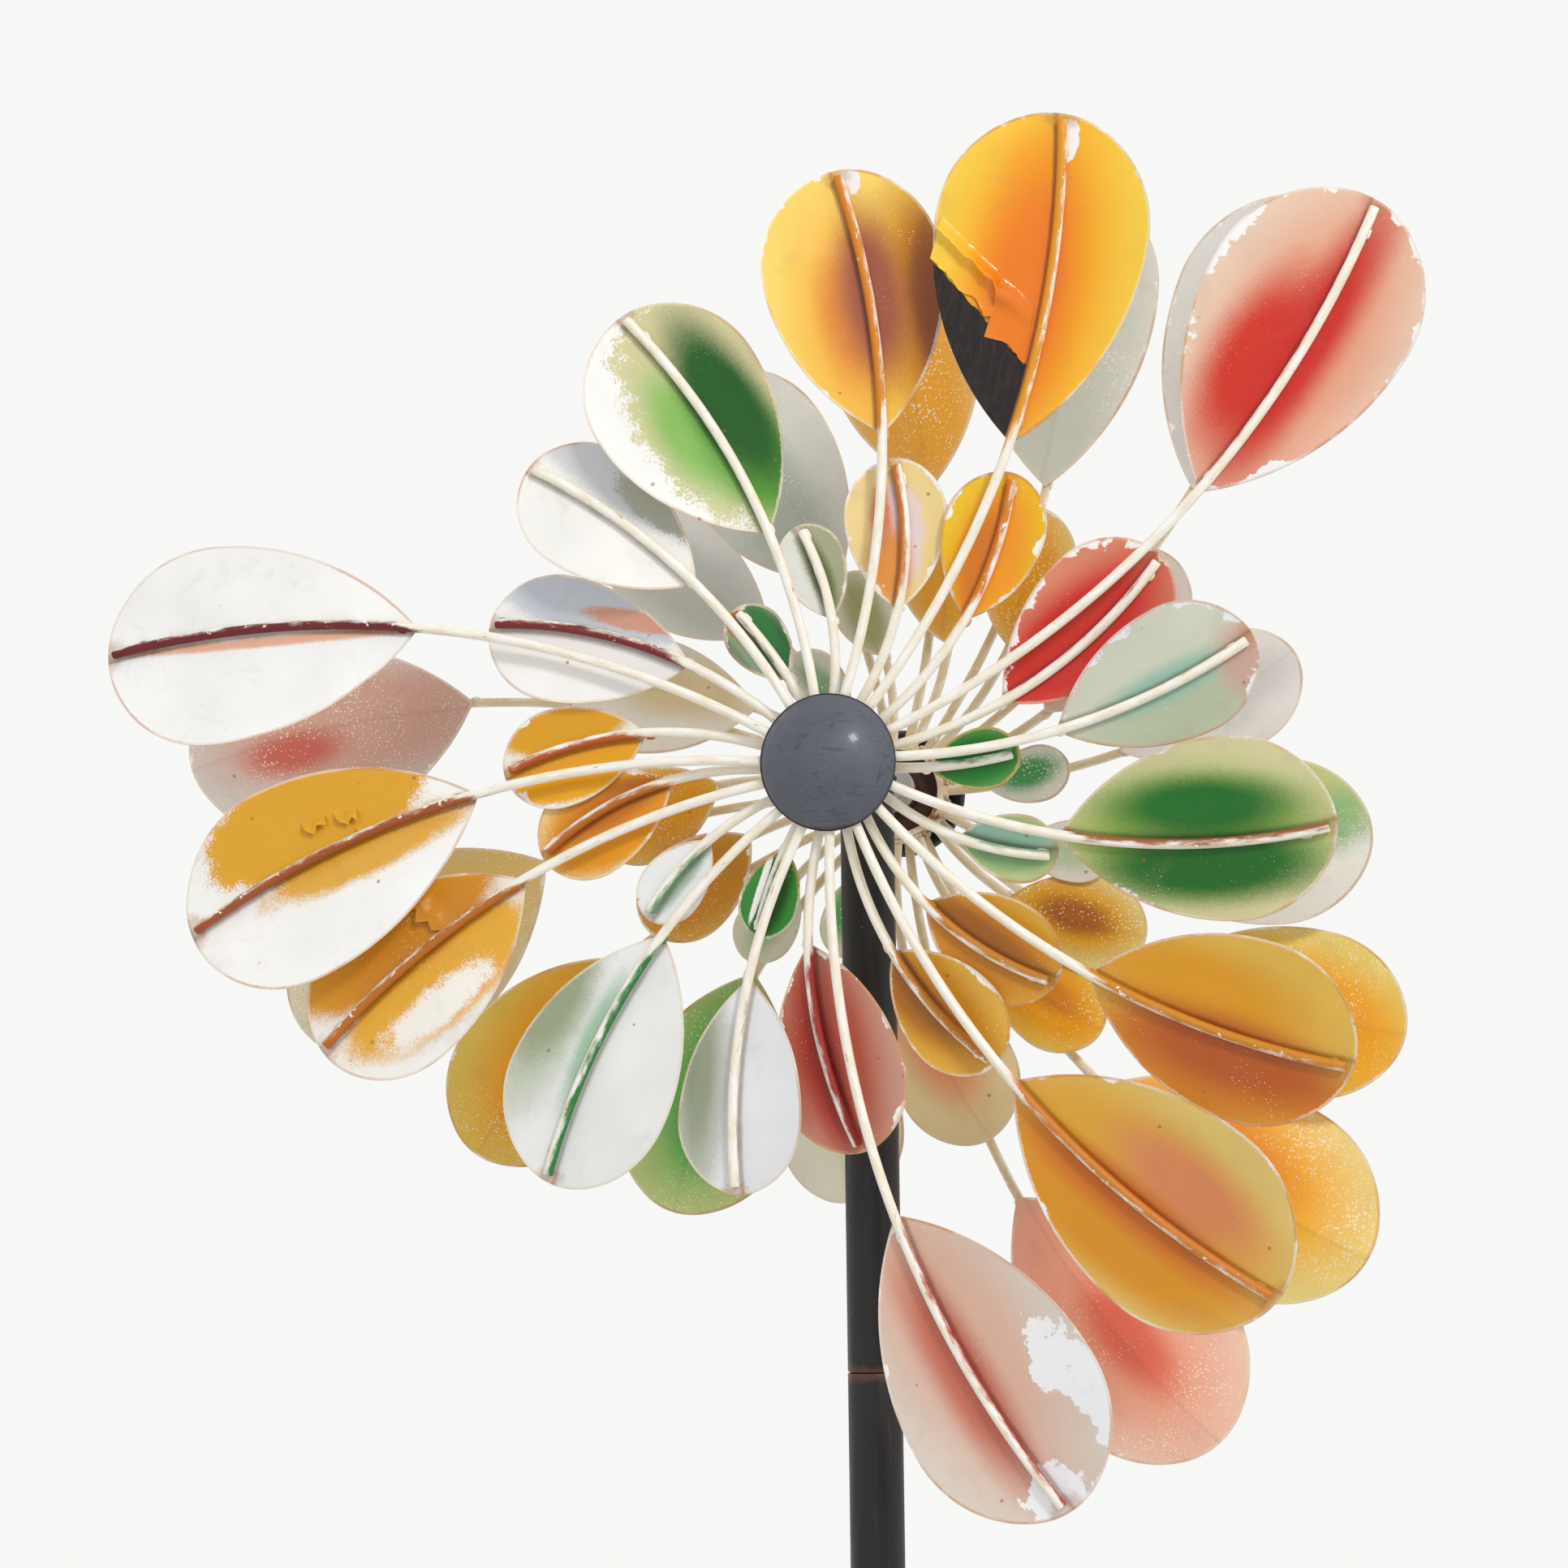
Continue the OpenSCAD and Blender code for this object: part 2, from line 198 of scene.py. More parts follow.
def ring_faces(rings, count, closed):
    """Quads between rings of count points each, joining the last ring to the first if closed."""
    faces = []
    for i in range(rings if closed else rings - 1):
        a, b = i * count, (i + 1) % rings * count
        for j in range(count):
            k = (j + 1) % count
            faces.append((a + j, a + k, b + k, b + j))
    return faces


def eased(profile, radius=0.4, closed=True):
    """Rounds each corner of a profile of (radius, height) points."""
    points, out = [np.array(p, float) for p in profile], []
    for i, p in enumerate(points):
        if not closed and i in (0, len(points) - 1):
            out.append(p)
            continue
        before, after = points[i - 1] - p, points[(i + 1) % len(points)] - p
        reach = min(radius, np.linalg.norm(before) / 2.2, np.linalg.norm(after) / 2.2)
        a = p + before / np.linalg.norm(before) * reach
        b = p + after / np.linalg.norm(after) * reach
        out += [a, (a + b) / 4 + p / 2, b]
    return out


def turned(name, profile, place, material, closed=True, segments=72, ease=0.4, shape=None):
    """A lathe-turned piece: profile of (radius, height) points turned about the third axis."""
    points = eased(profile, ease, closed)
    angles = np.linspace(0, 2 * math.pi, segments, endpoint=False)
    verts = np.concatenate([np.column_stack([r * np.cos(angles), r * np.sin(angles),
                                             np.full(segments, h)]) for r, h in points])
    if shape is not None:
        verts = shape(verts)
    faces = ring_faces(len(points), segments, closed)
    if not closed:
        faces += [list(range(segments)), list(range(len(verts) - segments, len(verts)))]
    obj = make(name, verts, faces, place, material)
    outward(obj)
    return obj


def outward(obj):
    """Turns all faces of a closed mesh outward."""
    work = bmesh.new()
    work.from_mesh(obj.data)
    bmesh.ops.recalc_face_normals(work, faces=work.faces)
    work.to_mesh(obj.data)
    work.free()


def wobble(points, size, amount, seed):
    """Smooth seeded noise at each point, one number each, for features of that size in mm."""
    shift = Vector((seed * 3.17, seed * 1.31, seed * 7.7))
    return np.array([noise.noise(Vector(p) / size + shift) for p in points]) * amount


def bead(centre, axes, radii, seed, around=10, rows=6):
    """A lumpy weld bead: an ellipsoid with a rough skin. Returns its points and faces."""
    points, faces = [], []
    for i in range(1, rows):
        lat = math.pi * i / rows
        for j in range(around):
            lon = 2 * math.pi * j / around
            points.append((math.sin(lat) * math.cos(lon), math.sin(lat) * math.sin(lon), math.cos(lat)))
    points += [(0, 0, 1), (0, 0, -1)]
    faces += ring_faces(rows - 1, around, False)
    top, bottom = len(points) - 2, len(points) - 1
    last = (rows - 2) * around
    for j in range(around):
        faces.append((top, (j + 1) % around, j))
        faces.append((bottom, last + j, last + (j + 1) % around))
    unit = np.array(points)
    lumps = 1 + wobble(unit * 2 + np.asarray(centre) * 0.7, 1.1, 0.32, seed)
    local = unit * lumps[:, None] * np.asarray(radii, float)
    return np.asarray(centre) + local @ np.asarray(axes, float), faces


# ---------------------------------------------------------------- colours and node materials


def paint_colour(code):
    """sRGB hex to the linear colour that shaders use."""
    out = []
    for i in (0, 2, 4):
        c = int(code[i:i + 2], 16) / 255
        out.append(c / 12.92 if c <= 0.04045 else ((c + 0.055) / 1.055) ** 2.4)
    return (*out, 1.0)


def add(tree, kind, settings=None, inputs=None, out=0):
    """Adds a node with its settings and its links or values, and returns one of its outputs, or all
    of them where out is None."""
    n = tree.nodes.new("ShaderNode" + kind)
    for key, value in (settings or {}).items():
        setattr(n, key, value)
    for key, value in (inputs or {}).items():
        if isinstance(value, bpy.types.NodeSocket):
            tree.links.new(value, n.inputs[key])
        else:
            n.inputs[key].default_value = value
    return n.outputs if out is None else n.outputs[out]


def start_material(name):
    """A new material with an empty node tree."""
    material = bpy.data.materials.new(name)
    material.use_nodes = True
    tree = material.node_tree
    tree.nodes.clear()
    return material, tree


def finish_material(tree, colour, roughness, height, bump_mm, strength=0.6, **fixed):
    """Joins colour, roughness and a height of up to bump_mm to one shader."""
    normal = add(tree, "Bump", {}, {"Strength": strength, "Distance": bump_mm * MM, "Height": height})
    shader = add(tree, "BsdfPrincipled", {},
                 {"Base Color": colour, "Roughness": roughness, "Normal": normal, **fixed})
    add(tree, "OutputMaterial", {}, {"Surface": shader}, None)


def sprayed_enamel(name, size, base, spots, seed, chips=0.25, specks=0.1, rim="E8D9C0",
                   worn="F4F4F0", gloss=0.36, bare=None, fold_dirt_and_shade=0.5):
    """Sprayed enamel on pressed sheet steel: colours misted over a pale coat from the stem outward,
    so every edge is a soft, grainy fade, with chips down to the pale coat along the rim. The points
    carry their flat place on the petal and their distance from its rim and from its fold, in mm."""
    length, width = size
    material, t = start_material(name)
    flat = add(t, "Attribute", {"attribute_name": "flat"}, {}, "Vector")
    rim_far = add(t, "Attribute", {"attribute_name": "rim"}, {}, "Fac")
    fold_far = add(t, "Attribute", {"attribute_name": "fold"}, {}, "Fac")
    here = add(t, "VectorMath", {"operation": "ADD"}, {0: flat, 1: (0, 0, seed * 17.3)})
    # Mist grain of 0.9 mm and ragged wear of 9 mm, drawn a little coarse so that they show.
    grain = add(t, "TexNoise", {}, {"Vector": here, "Scale": 1 / 0.9, "Detail": 2.0, "Roughness": 0.6})
    ragged = add(t, "TexNoise", {}, {"Vector": here, "Scale": 1 / 9.0, "Detail": 7.0, "Roughness": 0.68})
    broad = add(t, "TexNoise", {}, {"Vector": here, "Scale": 1 / 34.0, "Detail": 2.0, "Roughness": 0.5})
    tone = add(t, "MapRange", {}, {"Value": broad, "From Min": 0.3, "From Max": 0.7,
                                   "To Min": 0.93, "To Max": 1.03})
    colour = add(t, "MixRGB", {"blend_type": "MULTIPLY"},
                 {"Fac": 1.0, "Color1": paint_colour(base), "Color2": tone})
    for code, cx, cy, rx, ry, soft, rough in spots:
        scaled = add(t, "VectorMath", {"operation": "MULTIPLY_ADD"},
                     {0: flat, 1: (1 / (rx * length), 2 / (ry * width), 0), 2: (-cx / rx, -cy / ry, 0)})
        away = add(t, "VectorMath", {"operation": "LENGTH"}, {0: scaled}, "Value")
        # A colour fades out through its own mist grain; a flaked patch ends in crisp islands.
        flaked = soft < 0.06
        islands, mist = (rough * 3.2, 0.06) if flaked else (rough * 2.2, 0.16 + rough * 1.2)
        away = add(t, "Math", {"operation": "MULTIPLY_ADD"}, {0: ragged, 1: islands, 2: away})
        away = add(t, "Math", {"operation": "MULTIPLY_ADD"}, {0: grain, 1: mist, 2: away})
        middle = 1.0 + (islands + mist) / 2
        mask = add(t, "MapRange", {"interpolation_type": "SMOOTHSTEP"},
                   {"Value": away, "From Min": middle - soft * 0.55, "From Max": middle + soft * 0.55,
                    "To Min": 1.0, "To Max": 0.0})
        colour = add(t, "MixRGB", {}, {"Fac": mask, "Color1": colour, "Color2": paint_colour(code)})
    # Fine white spatter in drifts: dots of 0.4 to 0.8 mm, drawn a little coarse so that they show.
    dots = add(t, "TexVoronoi", {}, {"Vector": here, "Scale": 1 / 1.35, "Randomness": 1.0}, "Distance")
    dots = add(t, "Math", {"operation": "MULTIPLY_ADD"}, {0: broad, 1: -0.7, 2: dots})
    spatter = add(t, "MapRange", {}, {"Value": dots, "From Min": specks * 0.5 - 0.43,
                                      "From Max": specks * 0.5 - 0.37, "To Min": 0.75, "To Max": 0.0})
    colour = add(t, "MixRGB", {}, {"Fac": spatter, "Color1": colour, "Color2": paint_colour("F5F3EA")})
    # Chips bite in from the rim; the paint edge round them is crisp.
    bite = add(t, "TexNoise", {}, {"Vector": here, "Scale": 1 / 13.0, "Detail": 5.0, "Roughness": 0.6})
    bite = add(t, "MapRange", {"clamp": False}, {"Value": bite, "From Min": 0.60 - chips * 0.20,
                                                 "From Max": 0.80 - chips * 0.20,
                                                 "To Min": 0.0, "To Max": 1.0 + chips * 8.0})
    left = add(t, "Math", {"operation": "SUBTRACT"}, {0: bite, 1: rim_far})
    chip = add(t, "MapRange", {}, {"Value": left, "From Min": -0.25, "From Max": 0.35})
    colour = add(t, "MixRGB", {}, {"Fac": chip, "Color1": colour, "Color2": paint_colour(worn)})
    # Thin sheared edge, rubbed to undercoat and rust.
    edge = add(t, "Math", {"operation": "MULTIPLY_ADD"}, {0: grain, 1: -1.3, 2: rim_far})
    edge = add(t, "MapRange", {}, {"Value": edge, "From Min": 0.0, "From Max": 0.4,
                                   "To Min": 0.6, "To Max": 0.0})
    rusty = add(t, "MapRange", {}, {"Value": broad, "From Min": 0.48, "From Max": 0.62})
    edge_tone = add(t, "MixRGB", {}, {"Fac": rusty, "Color1": paint_colour(rim),
                                      "Color2": paint_colour("C98A55")})
    colour = add(t, "MixRGB", {}, {"Fac": edge, "Color1": colour, "Color2": edge_tone})
    # Dirt and painted shade darken the fold beside the stem.
    crease = add(t, "Math", {"operation": "ABSOLUTE"}, {0: fold_far})
    crease = add(t, "Math", {"operation": "MULTIPLY_ADD"}, {0: ragged, 1: 1.6, 2: crease})
    crease = add(t, "MapRange", {"interpolation_type": "SMOOTHSTEP"},
                 {"Value": crease, "From Min": 0.6, "From Max": 2.6, "To Min": fold_dirt_and_shade, "To Max": 0.0})
    colour = add(t, "MixRGB", {"blend_type": "MULTIPLY"},
                 {"Fac": crease, "Color1": colour, "Color2": paint_colour("7A4A30")})
    # Rust has crept out from under the stem's cut end, and a little from the petal's point.
    for end_x, reach in ((length, 0.085 * length), (0.0, 0.05 * length)):
        away = add(t, "VectorMath", {"operation": "DISTANCE"}, {0: flat, 1: (end_x, 0, 0)}, "Value")
        away = add(t, "Math", {"operation": "MULTIPLY_ADD"}, {0: ragged, 1: 16.0, 2: away})
        near = add(t, "MapRange", {"interpolation_type": "SMOOTHSTEP"},
                   {"Value": away, "From Min": 4.0 + reach * 0.7, "From Max": 9.5 + reach * 0.7,
                    "To Min": 0.42, "To Max": 0.0})
        colour = add(t, "MixRGB", {}, {"Fac": near, "Color1": colour, "Color2": paint_colour("B0703A")})
    # Old handling smudges, brown-grey and very thin.
    smudge = add(t, "TexNoise", {}, {"Vector": here, "Scale": 1 / 19.0, "Detail": 6.0, "Roughness": 0.7,
                                     "Distortion": 0.8})
    smudge = add(t, "MapRange", {}, {"Value": smudge, "From Min": 0.55, "From Max": 0.75, "To Max": 0.16})
    colour = add(t, "MixRGB", {}, {"Fac": smudge, "Color1": colour, "Color2": paint_colour("8C7A66")})
    # A few rust pits.
    pits = add(t, "TexVoronoi", {}, {"Vector": here, "Scale": 1 / 16.0, "Randomness": 1.0}, "Distance")
    pits = add(t, "MapRange", {}, {"Value": pits, "From Min": 0.03, "From Max": 0.06,
                                   "To Min": 0.7, "To Max": 0.0})
    colour = add(t, "MixRGB", {}, {"Fac": pits, "Color1": colour, "Color2": paint_colour("8A6238")})
    height = add(t, "Math", {"operation": "MULTIPLY_ADD"}, {0: chip, 1: -0.55, 2: ragged})
    rough = add(t, "MapRange", {}, {"Value": ragged, "From Min": 0.3, "From Max": 0.75,
                                    "To Min": gloss, "To Max": gloss + 0.14})
    if bare is not None:
        # Where the paint has come away, the sheet is brown-black, oily steel with scratches.
        start, slope = bare
        along, across, _ = add(t, "SeparateXYZ", {}, {0: flat}, None)
        line = add(t, "Math", {"operation": "MULTIPLY_ADD"}, {0: across, 1: slope, 2: start})
        line = add(t, "Math", {"operation": "MULTIPLY_ADD"}, {0: ragged, 1: 5.0, 2: line})
        line = add(t, "Math", {"operation": "SUBTRACT"}, {0: line, 1: along})
        line = add(t, "MapRange", {}, {"Value": line, "From Min": 2.3, "From Max": 2.7})
        side = add(t, "MapRange", {}, {"Value": fold_far, "From Min": -0.4, "From Max": -0.1,
                                       "To Min": 1.0, "To Max": 0.0})
        gone = add(t, "Math", {"operation": "MULTIPLY"}, {0: line, 1: side})
        streak = add(t, "Mapping", {}, {"Vector": here, "Rotation": (0, 0, 0.5),
                                        "Scale": (0.09, 0.34, 1.0)})
        streak = add(t, "TexNoise", {}, {"Vector": streak, "Scale": 1.0, "Detail": 7.0, "Distortion": 1.2})
        streak = add(t, "MapRange", {}, {"Value": streak, "From Min": 0.45, "From Max": 0.8})
        steel = add(t, "MixRGB", {}, {"Fac": streak, "Color1": paint_colour("0D0706"),
                                      "Color2": paint_colour("3A2019")})
        colour = add(t, "MixRGB", {}, {"Fac": gone, "Color1": colour, "Color2": steel})
    finish_material(t, colour, rough, height, 0.35, 0.35)
    return material


def wire_paint():
    """Cream enamel brushed on drawn steel wire, with the petal colours misted over it, chipped to
    the undercoat and spotted with rust. Attributes say how far along and on which side a point is."""
    material, t = start_material("brushed_cream_enamel_on_drawn_steel_wire")
    flow = add(t, "Attribute", {"attribute_name": "flow"}, {}, "Vector")
    mist = add(t, "Attribute", {"attribute_name": "mist"}, {}, None)
    _, flank, top = add(t, "SeparateXYZ", {}, {0: flow}, None)
    place = add(t, "VectorMath", {"operation": "MULTIPLY"}, {0: flow, 1: (1.0, 2.3, 2.3)})
    streaky = add(t, "VectorMath", {"operation": "MULTIPLY"}, {0: flow, 1: (0.22, 2.0, 2.0)})
    ragged = add(t, "TexNoise", {}, {"Vector": place, "Scale": 0.3, "Detail": 6.0, "Roughness": 0.65})
    along = add(t, "TexNoise", {}, {"Vector": streaky, "Scale": 0.45, "Detail": 5.0, "Roughness": 0.6})
    fine = add(t, "TexNoise", {}, {"Vector": place, "Scale": 1.2, "Detail": 3.0})
    colour = add(t, "MixRGB", {}, {"Fac": add(t, "MapRange", {}, {"Value": along, "From Min": 0.38,
                                                                  "From Max": 0.66}),
                                   "Color1": paint_colour("F8F6F0"), "Color2": paint_colour("EFE4C8")})
    # Painted shade: the side of each wire that faces the other rotor is painted a warmer, darker cream, in
    # streaks.
    under = add(t, "Math", {"operation": "MULTIPLY_ADD"}, {0: top, 1: -0.5, 2: along})
    under = add(t, "MapRange", {"interpolation_type": "SMOOTHSTEP"},
                {"Value": under, "From Min": 0.55, "From Max": 1.0, "To Max": 0.85})
    colour = add(t, "MixRGB", {}, {"Fac": under, "Color1": colour, "Color2": paint_colour("DBC79A")})
    # The mist of petal colour catches the side that faces the nozzle.
    facing = add(t, "Math", {"operation": "MULTIPLY_ADD"}, {0: flank, 1: -0.32, 2: along})
    facing = add(t, "Math", {"operation": "ADD"}, {0: facing, 1: mist["Alpha"]})
    misted = add(t, "MapRange", {"interpolation_type": "SMOOTHSTEP"},
                 {"Value": facing, "From Min": 1.0, "From Max": 1.35})
    colour = add(t, "MixRGB", {}, {"Fac": misted, "Color1": colour, "Color2": mist["Color"]})
    # Chips to the white undercoat on the proud side, and rust where the wire is bare.
    chips = add(t, "Math", {"operation": "MULTIPLY_ADD"}, {0: flank, 1: 0.07, 2: ragged})
    chips = add(t, "MapRange", {}, {"Value": chips, "From Min": 0.63, "From Max": 0.66})
    colour = add(t, "MixRGB", {}, {"Fac": chips, "Color1": colour, "Color2": paint_colour("F7F5EF")})
    rust = add(t, "TexNoise", {}, {"Vector": streaky, "Scale": 0.55, "Detail": 6.0, "Roughness": 0.7})
    rust = add(t, "MapRange", {}, {"Value": rust, "From Min": 0.64, "From Max": 0.70})
    colour = add(t, "MixRGB", {}, {"Fac": rust, "Color1": colour, "Color2": paint_colour("A8703F")})
    height = add(t, "Math", {"operation": "MULTIPLY_ADD"}, {0: chips, 1: 0.6, 2: fine})
    rough = add(t, "MapRange", {}, {"Value": ragged, "From Min": 0.3, "From Max": 0.7,
                                    "To Min": 0.38, "To Max": 0.62})
    finish_material(t, colour, rough, height, 0.3, 0.4)
    return material


def object_mm(t):
    """Points of the frame in millimetres. The pieces' own coordinates are the frame's."""
    return add(t, "VectorMath", {"operation": "SCALE"},
               {0: add(t, "TexCoord", {}, {}, "Object"), "Scale": 1000.0})


def from_axle(t, here):
    """Points measured from the axle's height, and how far from the axle they are, in mm."""
    centred = add(t, "VectorMath", {"operation": "SUBTRACT"}, {0: here, 1: (0, 0, axle_z)})
    flat = add(t, "VectorMath", {"operation": "MULTIPLY"}, {0: centred, 1: (1, 0, 1)})
    return centred, add(t, "VectorMath", {"operation": "LENGTH"}, {0: flat}, "Value")


def hub_paint():
    """Brushed cream enamel on a turned steel ring, with brown stains where rust has bled out of the welds.
    Inside the bore the rusty web is painted almost black, partly as painted shade of the recess."""
    material, t = start_material("brushed_cream_enamel_on_turned_steel")
    here = object_mm(t)
    _, radius = from_axle(t, here)
    stain = add(t, "TexNoise", {}, {"Vector": here, "Scale": 1 / 7.0, "Detail": 7.0, "Roughness": 0.66})
    fine = add(t, "TexNoise", {}, {"Vector": here, "Scale": 1 / 1.4, "Detail": 3.0})
    clean = add(t, "MixRGB", {}, {"Fac": add(t, "MapRange", {}, {"Value": stain, "From Min": 0.35,
                                                                 "From Max": 0.6}),
                                  "Color1": paint_colour("EFE6D2"), "Color2": paint_colour("CFB68C")})
    rust = add(t, "MapRange", {}, {"Value": stain, "From Min": 0.56, "From Max": 0.64})
    outside = add(t, "MixRGB", {}, {"Fac": rust, "Color1": clean, "Color2": paint_colour("8E5A38")})
    deep = add(t, "MixRGB", {}, {"Fac": stain, "Color1": paint_colour("1E1310"),
                                 "Color2": paint_colour("5B3522")})
    # Outside the ring's bore the hub is painted cream; inside it is rust, darkened further as painted shade
    # of the recess.
    step = add(t, "Math", {"operation": "MULTIPLY_ADD"}, {0: fine, 1: 0.8, 2: radius})
    step = add(t, "MapRange", {}, {"Value": step, "From Min": hub_bore + 0.1,
                                   "From Max": hub_bore + 0.7})
    colour = add(t, "MixRGB", {}, {"Fac": step, "Color1": deep, "Color2": outside})
    rough = add(t, "MapRange", {}, {"Value": stain, "From Min": 0.3, "From Max": 0.7,
                                    "To Min": 0.5, "To Max": 0.8})
    finish_material(t, colour, rough, add(t, "Math", {"operation": "ADD"}, {0: fine, 1: stain}), 0.4, 0.5)
    return material


def dome_paint():
    """Matt slate powder coat on a spun steel cap: an even blue-grey skin with dark rubbed smears,
    a few fine scratches, and rust creeping in from the rim."""
    material, t = start_material("matt_slate_powder_coat_on_spun_steel")
    here = object_mm(t)
    centred, radius = from_axle(t, here)
    cloud = add(t, "TexNoise", {}, {"Vector": here, "Scale": 1 / 15.0, "Detail": 4.0, "Roughness": 0.55})
    grit = add(t, "TexNoise", {}, {"Vector": here, "Scale": 1 / 0.9, "Detail": 2.0})
    smear_at = add(t, "Mapping", {}, {"Vector": centred, "Rotation": (0, 0.5, 0),
                                      "Scale": (0.045, 0.1, 0.12)})
    smear = add(t, "TexNoise", {}, {"Vector": smear_at, "Scale": 1.0, "Detail": 5.0, "Roughness": 0.62,
                                    "Distortion": 2.6})
    smear = add(t, "MapRange", {}, {"Value": smear, "From Min": 0.55, "From Max": 0.66})
    colour = add(t, "MixRGB", {}, {"Fac": cloud, "Color1": paint_colour("484D59"),
                                   "Color2": paint_colour("5B5F6A")})
    pale = add(t, "MapRange", {}, {"Value": grit, "From Min": 0.62, "From Max": 0.72, "To Max": 0.25})
    colour = add(t, "MixRGB", {}, {"Fac": pale, "Color1": colour, "Color2": paint_colour("8A8C93")})
    colour = add(t, "MixRGB", {}, {"Fac": add(t, "Math", {"operation": "MULTIPLY"}, {0: smear, 1: 0.55}),
                                   "Color1": colour, "Color2": paint_colour("33343B")})
    creep = add(t, "Math", {"operation": "MULTIPLY_ADD"}, {0: cloud, 1: 5.0, 2: radius})
    creep = add(t, "MapRange", {}, {"Value": creep, "From Min": dome_r + 2.2, "From Max": dome_r + 3.4,
                                    "To Max": 0.8})
    colour = add(t, "MixRGB", {}, {"Fac": creep, "Color1": colour, "Color2": paint_colour("6E4632")})
    rough = add(t, "MapRange", {}, {"Value": smear, "To Min": 0.52, "To Max": 0.4})
    finish_material(t, colour, rough, grit, 0.2, 0.35, **{"Coat Weight": 0.25, "Coat Roughness": 0.14})
    return material


def pole_paint():
    """Black powder coat on drawn steel tube: soft sheen, grey dust and scuffs running round and
    along it, and an orange-brown line of rust where the sections meet."""
    material, t = start_material("black_powder_coat_on_steel_tube")
    here = object_mm(t)
    grit = add(t, "TexNoise", {}, {"Vector": here, "Scale": 1 / 1.0, "Detail": 2.0})
    blotch = add(t, "TexNoise", {}, {"Vector": here, "Scale": 1 / 26.0, "Detail": 6.0, "Roughness": 0.62})
    drawn = add(t, "VectorMath", {"operation": "MULTIPLY"}, {0: here, 1: (1.0, 1.0, 0.09)})
    scuff = add(t, "TexNoise", {}, {"Vector": drawn, "Scale": 1 / 3.5, "Detail": 5.0, "Roughness": 0.7})
    colour = add(t, "MixRGB", {}, {"Fac": blotch, "Color1": paint_colour("090A0B"),
                                   "Color2": paint_colour("191A1A")})
    worn = add(t, "MapRange", {}, {"Value": scuff, "From Min": 0.6, "From Max": 0.75, "To Max": 0.35})
    colour = add(t, "MixRGB", {}, {"Fac": worn, "Color1": colour, "Color2": paint_colour("565655")})
    level = add(t, "SeparateXYZ", {}, {0: here}, "Z")
    for joint in (post_low[2], upper_low[2], lower_low[2]):
        near = add(t, "Math", {"operation": "SUBTRACT"}, {0: level, 1: float(joint)})
        near = add(t, "Math", {"operation": "ABSOLUTE"}, {0: near})
        near = add(t, "Math", {"operation": "MULTIPLY_ADD"}, {0: blotch, 1: -16.0, 2: near})
        near = add(t, "MapRange", {}, {"Value": near, "From Min": -8.2, "From Max": -4.6,
                                       "To Min": 0.75, "To Max": 0.0})
        colour = add(t, "MixRGB", {}, {"Fac": near, "Color1": colour, "Color2": paint_colour("6E452C")})
    speck = add(t, "TexVoronoi", {}, {"Vector": here, "Scale": 1 / 11.0, "Randomness": 1.0}, "Distance")
    speck = add(t, "MapRange", {}, {"Value": speck, "From Min": 0.03, "From Max": 0.06,
                                    "To Min": 0.6, "To Max": 0.0})
    colour = add(t, "MixRGB", {}, {"Fac": speck, "Color1": colour, "Color2": paint_colour("7A5A3F")})
    rough = add(t, "MapRange", {}, {"Value": scuff, "From Min": 0.35, "From Max": 0.7,
                                    "To Min": 0.34, "To Max": 0.56})
    finish_material(t, colour, rough, grit, 0.15, 0.3)
    return material


def plain_metal(name, dark, light, metallic, rough_from, rough_to, grain_mm, rust=None):
    """Bare, plated or painted turned metal: fine rings from the lathe and patchy dullness."""
    material, t = start_material(name)
    here = object_mm(t)
    rings = add(t, "VectorMath", {"operation": "MULTIPLY"}, {0: here, 1: (0.15, 1.0, 0.15)})
    ring = add(t, "TexNoise", {}, {"Vector": rings, "Scale": 1 / grain_mm, "Detail": 3.0})
    patch = add(t, "TexNoise", {}, {"Vector": here, "Scale": 1 / 6.0, "Detail": 6.0, "Roughness": 0.65})
    colour = add(t, "MixRGB", {}, {"Fac": patch, "Color1": paint_colour(dark),
                                   "Color2": paint_colour(light)})
    if rust:
        mask = add(t, "MapRange", {}, {"Value": patch, "From Min": 0.58, "From Max": 0.66, "To Max": 0.7})
        colour = add(t, "MixRGB", {}, {"Fac": mask, "Color1": colour, "Color2": paint_colour(rust)})
    rough = add(t, "MapRange", {}, {"Value": patch, "From Min": 0.3, "From Max": 0.7,
                                    "To Min": rough_from, "To Max": rough_to})
    finish_material(t, colour, rough, ring, 0.08, 0.4, Metallic=metallic)
    return material


wire_finish = wire_paint()
hub_finish = hub_paint()
dome_finish = dome_paint()
pole_finish = pole_paint()
# Light grey enamel on the tube that carries the axle: even, a little chalky.
housing_finish = plain_metal("light_grey_enamel_on_steel_tube", "8F9091", "B9BAB9", 0.0, 0.42, 0.6, 0.8,
                             "8A6A50")
# Zinc plate is a cool grey metal that has gone dull in patches.
zinc_finish = plain_metal("zinc_plated_steel", "8E9194", "BFC1C2", 1.0, 0.28, 0.5, 0.5, "7C5A42")
# Sintered bronze soaked in oil: dark gold, half matt.
bronze_finish = plain_metal("oiled_sintered_bronze", "7A5530", "A9804C", 1.0, 0.35, 0.55, 0.7)

# ---------------------------------------------------------------- stems


ROOT_DEPTH = 1.2
FLOW_STEP = 61.0


class Stem:
    """One bent wire, drawn along +x from the hub and bending towards +y, in millimetres."""

    def __init__(self, tip, bend, lean, size, row):
        self.tip, self.bend, self.lean, self.size, self.row = tip, bend, math.radians(lean), size, row
        self.centre = np.array([stem_start + bend * math.sin(self.lean), bend * math.cos(self.lean)])

    def swing_to(self, r):
        away = np.linalg.norm(self.centre)
        rise = (r * r - away * away - self.bend ** 2) / (2 * self.bend * away)
        return math.atan2(self.centre[1], self.centre[0]) + math.asin(rise) + self.lean

    def at(self, swing, off=0.0):
        """Point on the arc, or off it by that much away from the bend's centre."""
        a = swing - self.lean
        return self.centre + (self.bend + off) * np.array([math.sin(a), -math.cos(a)])


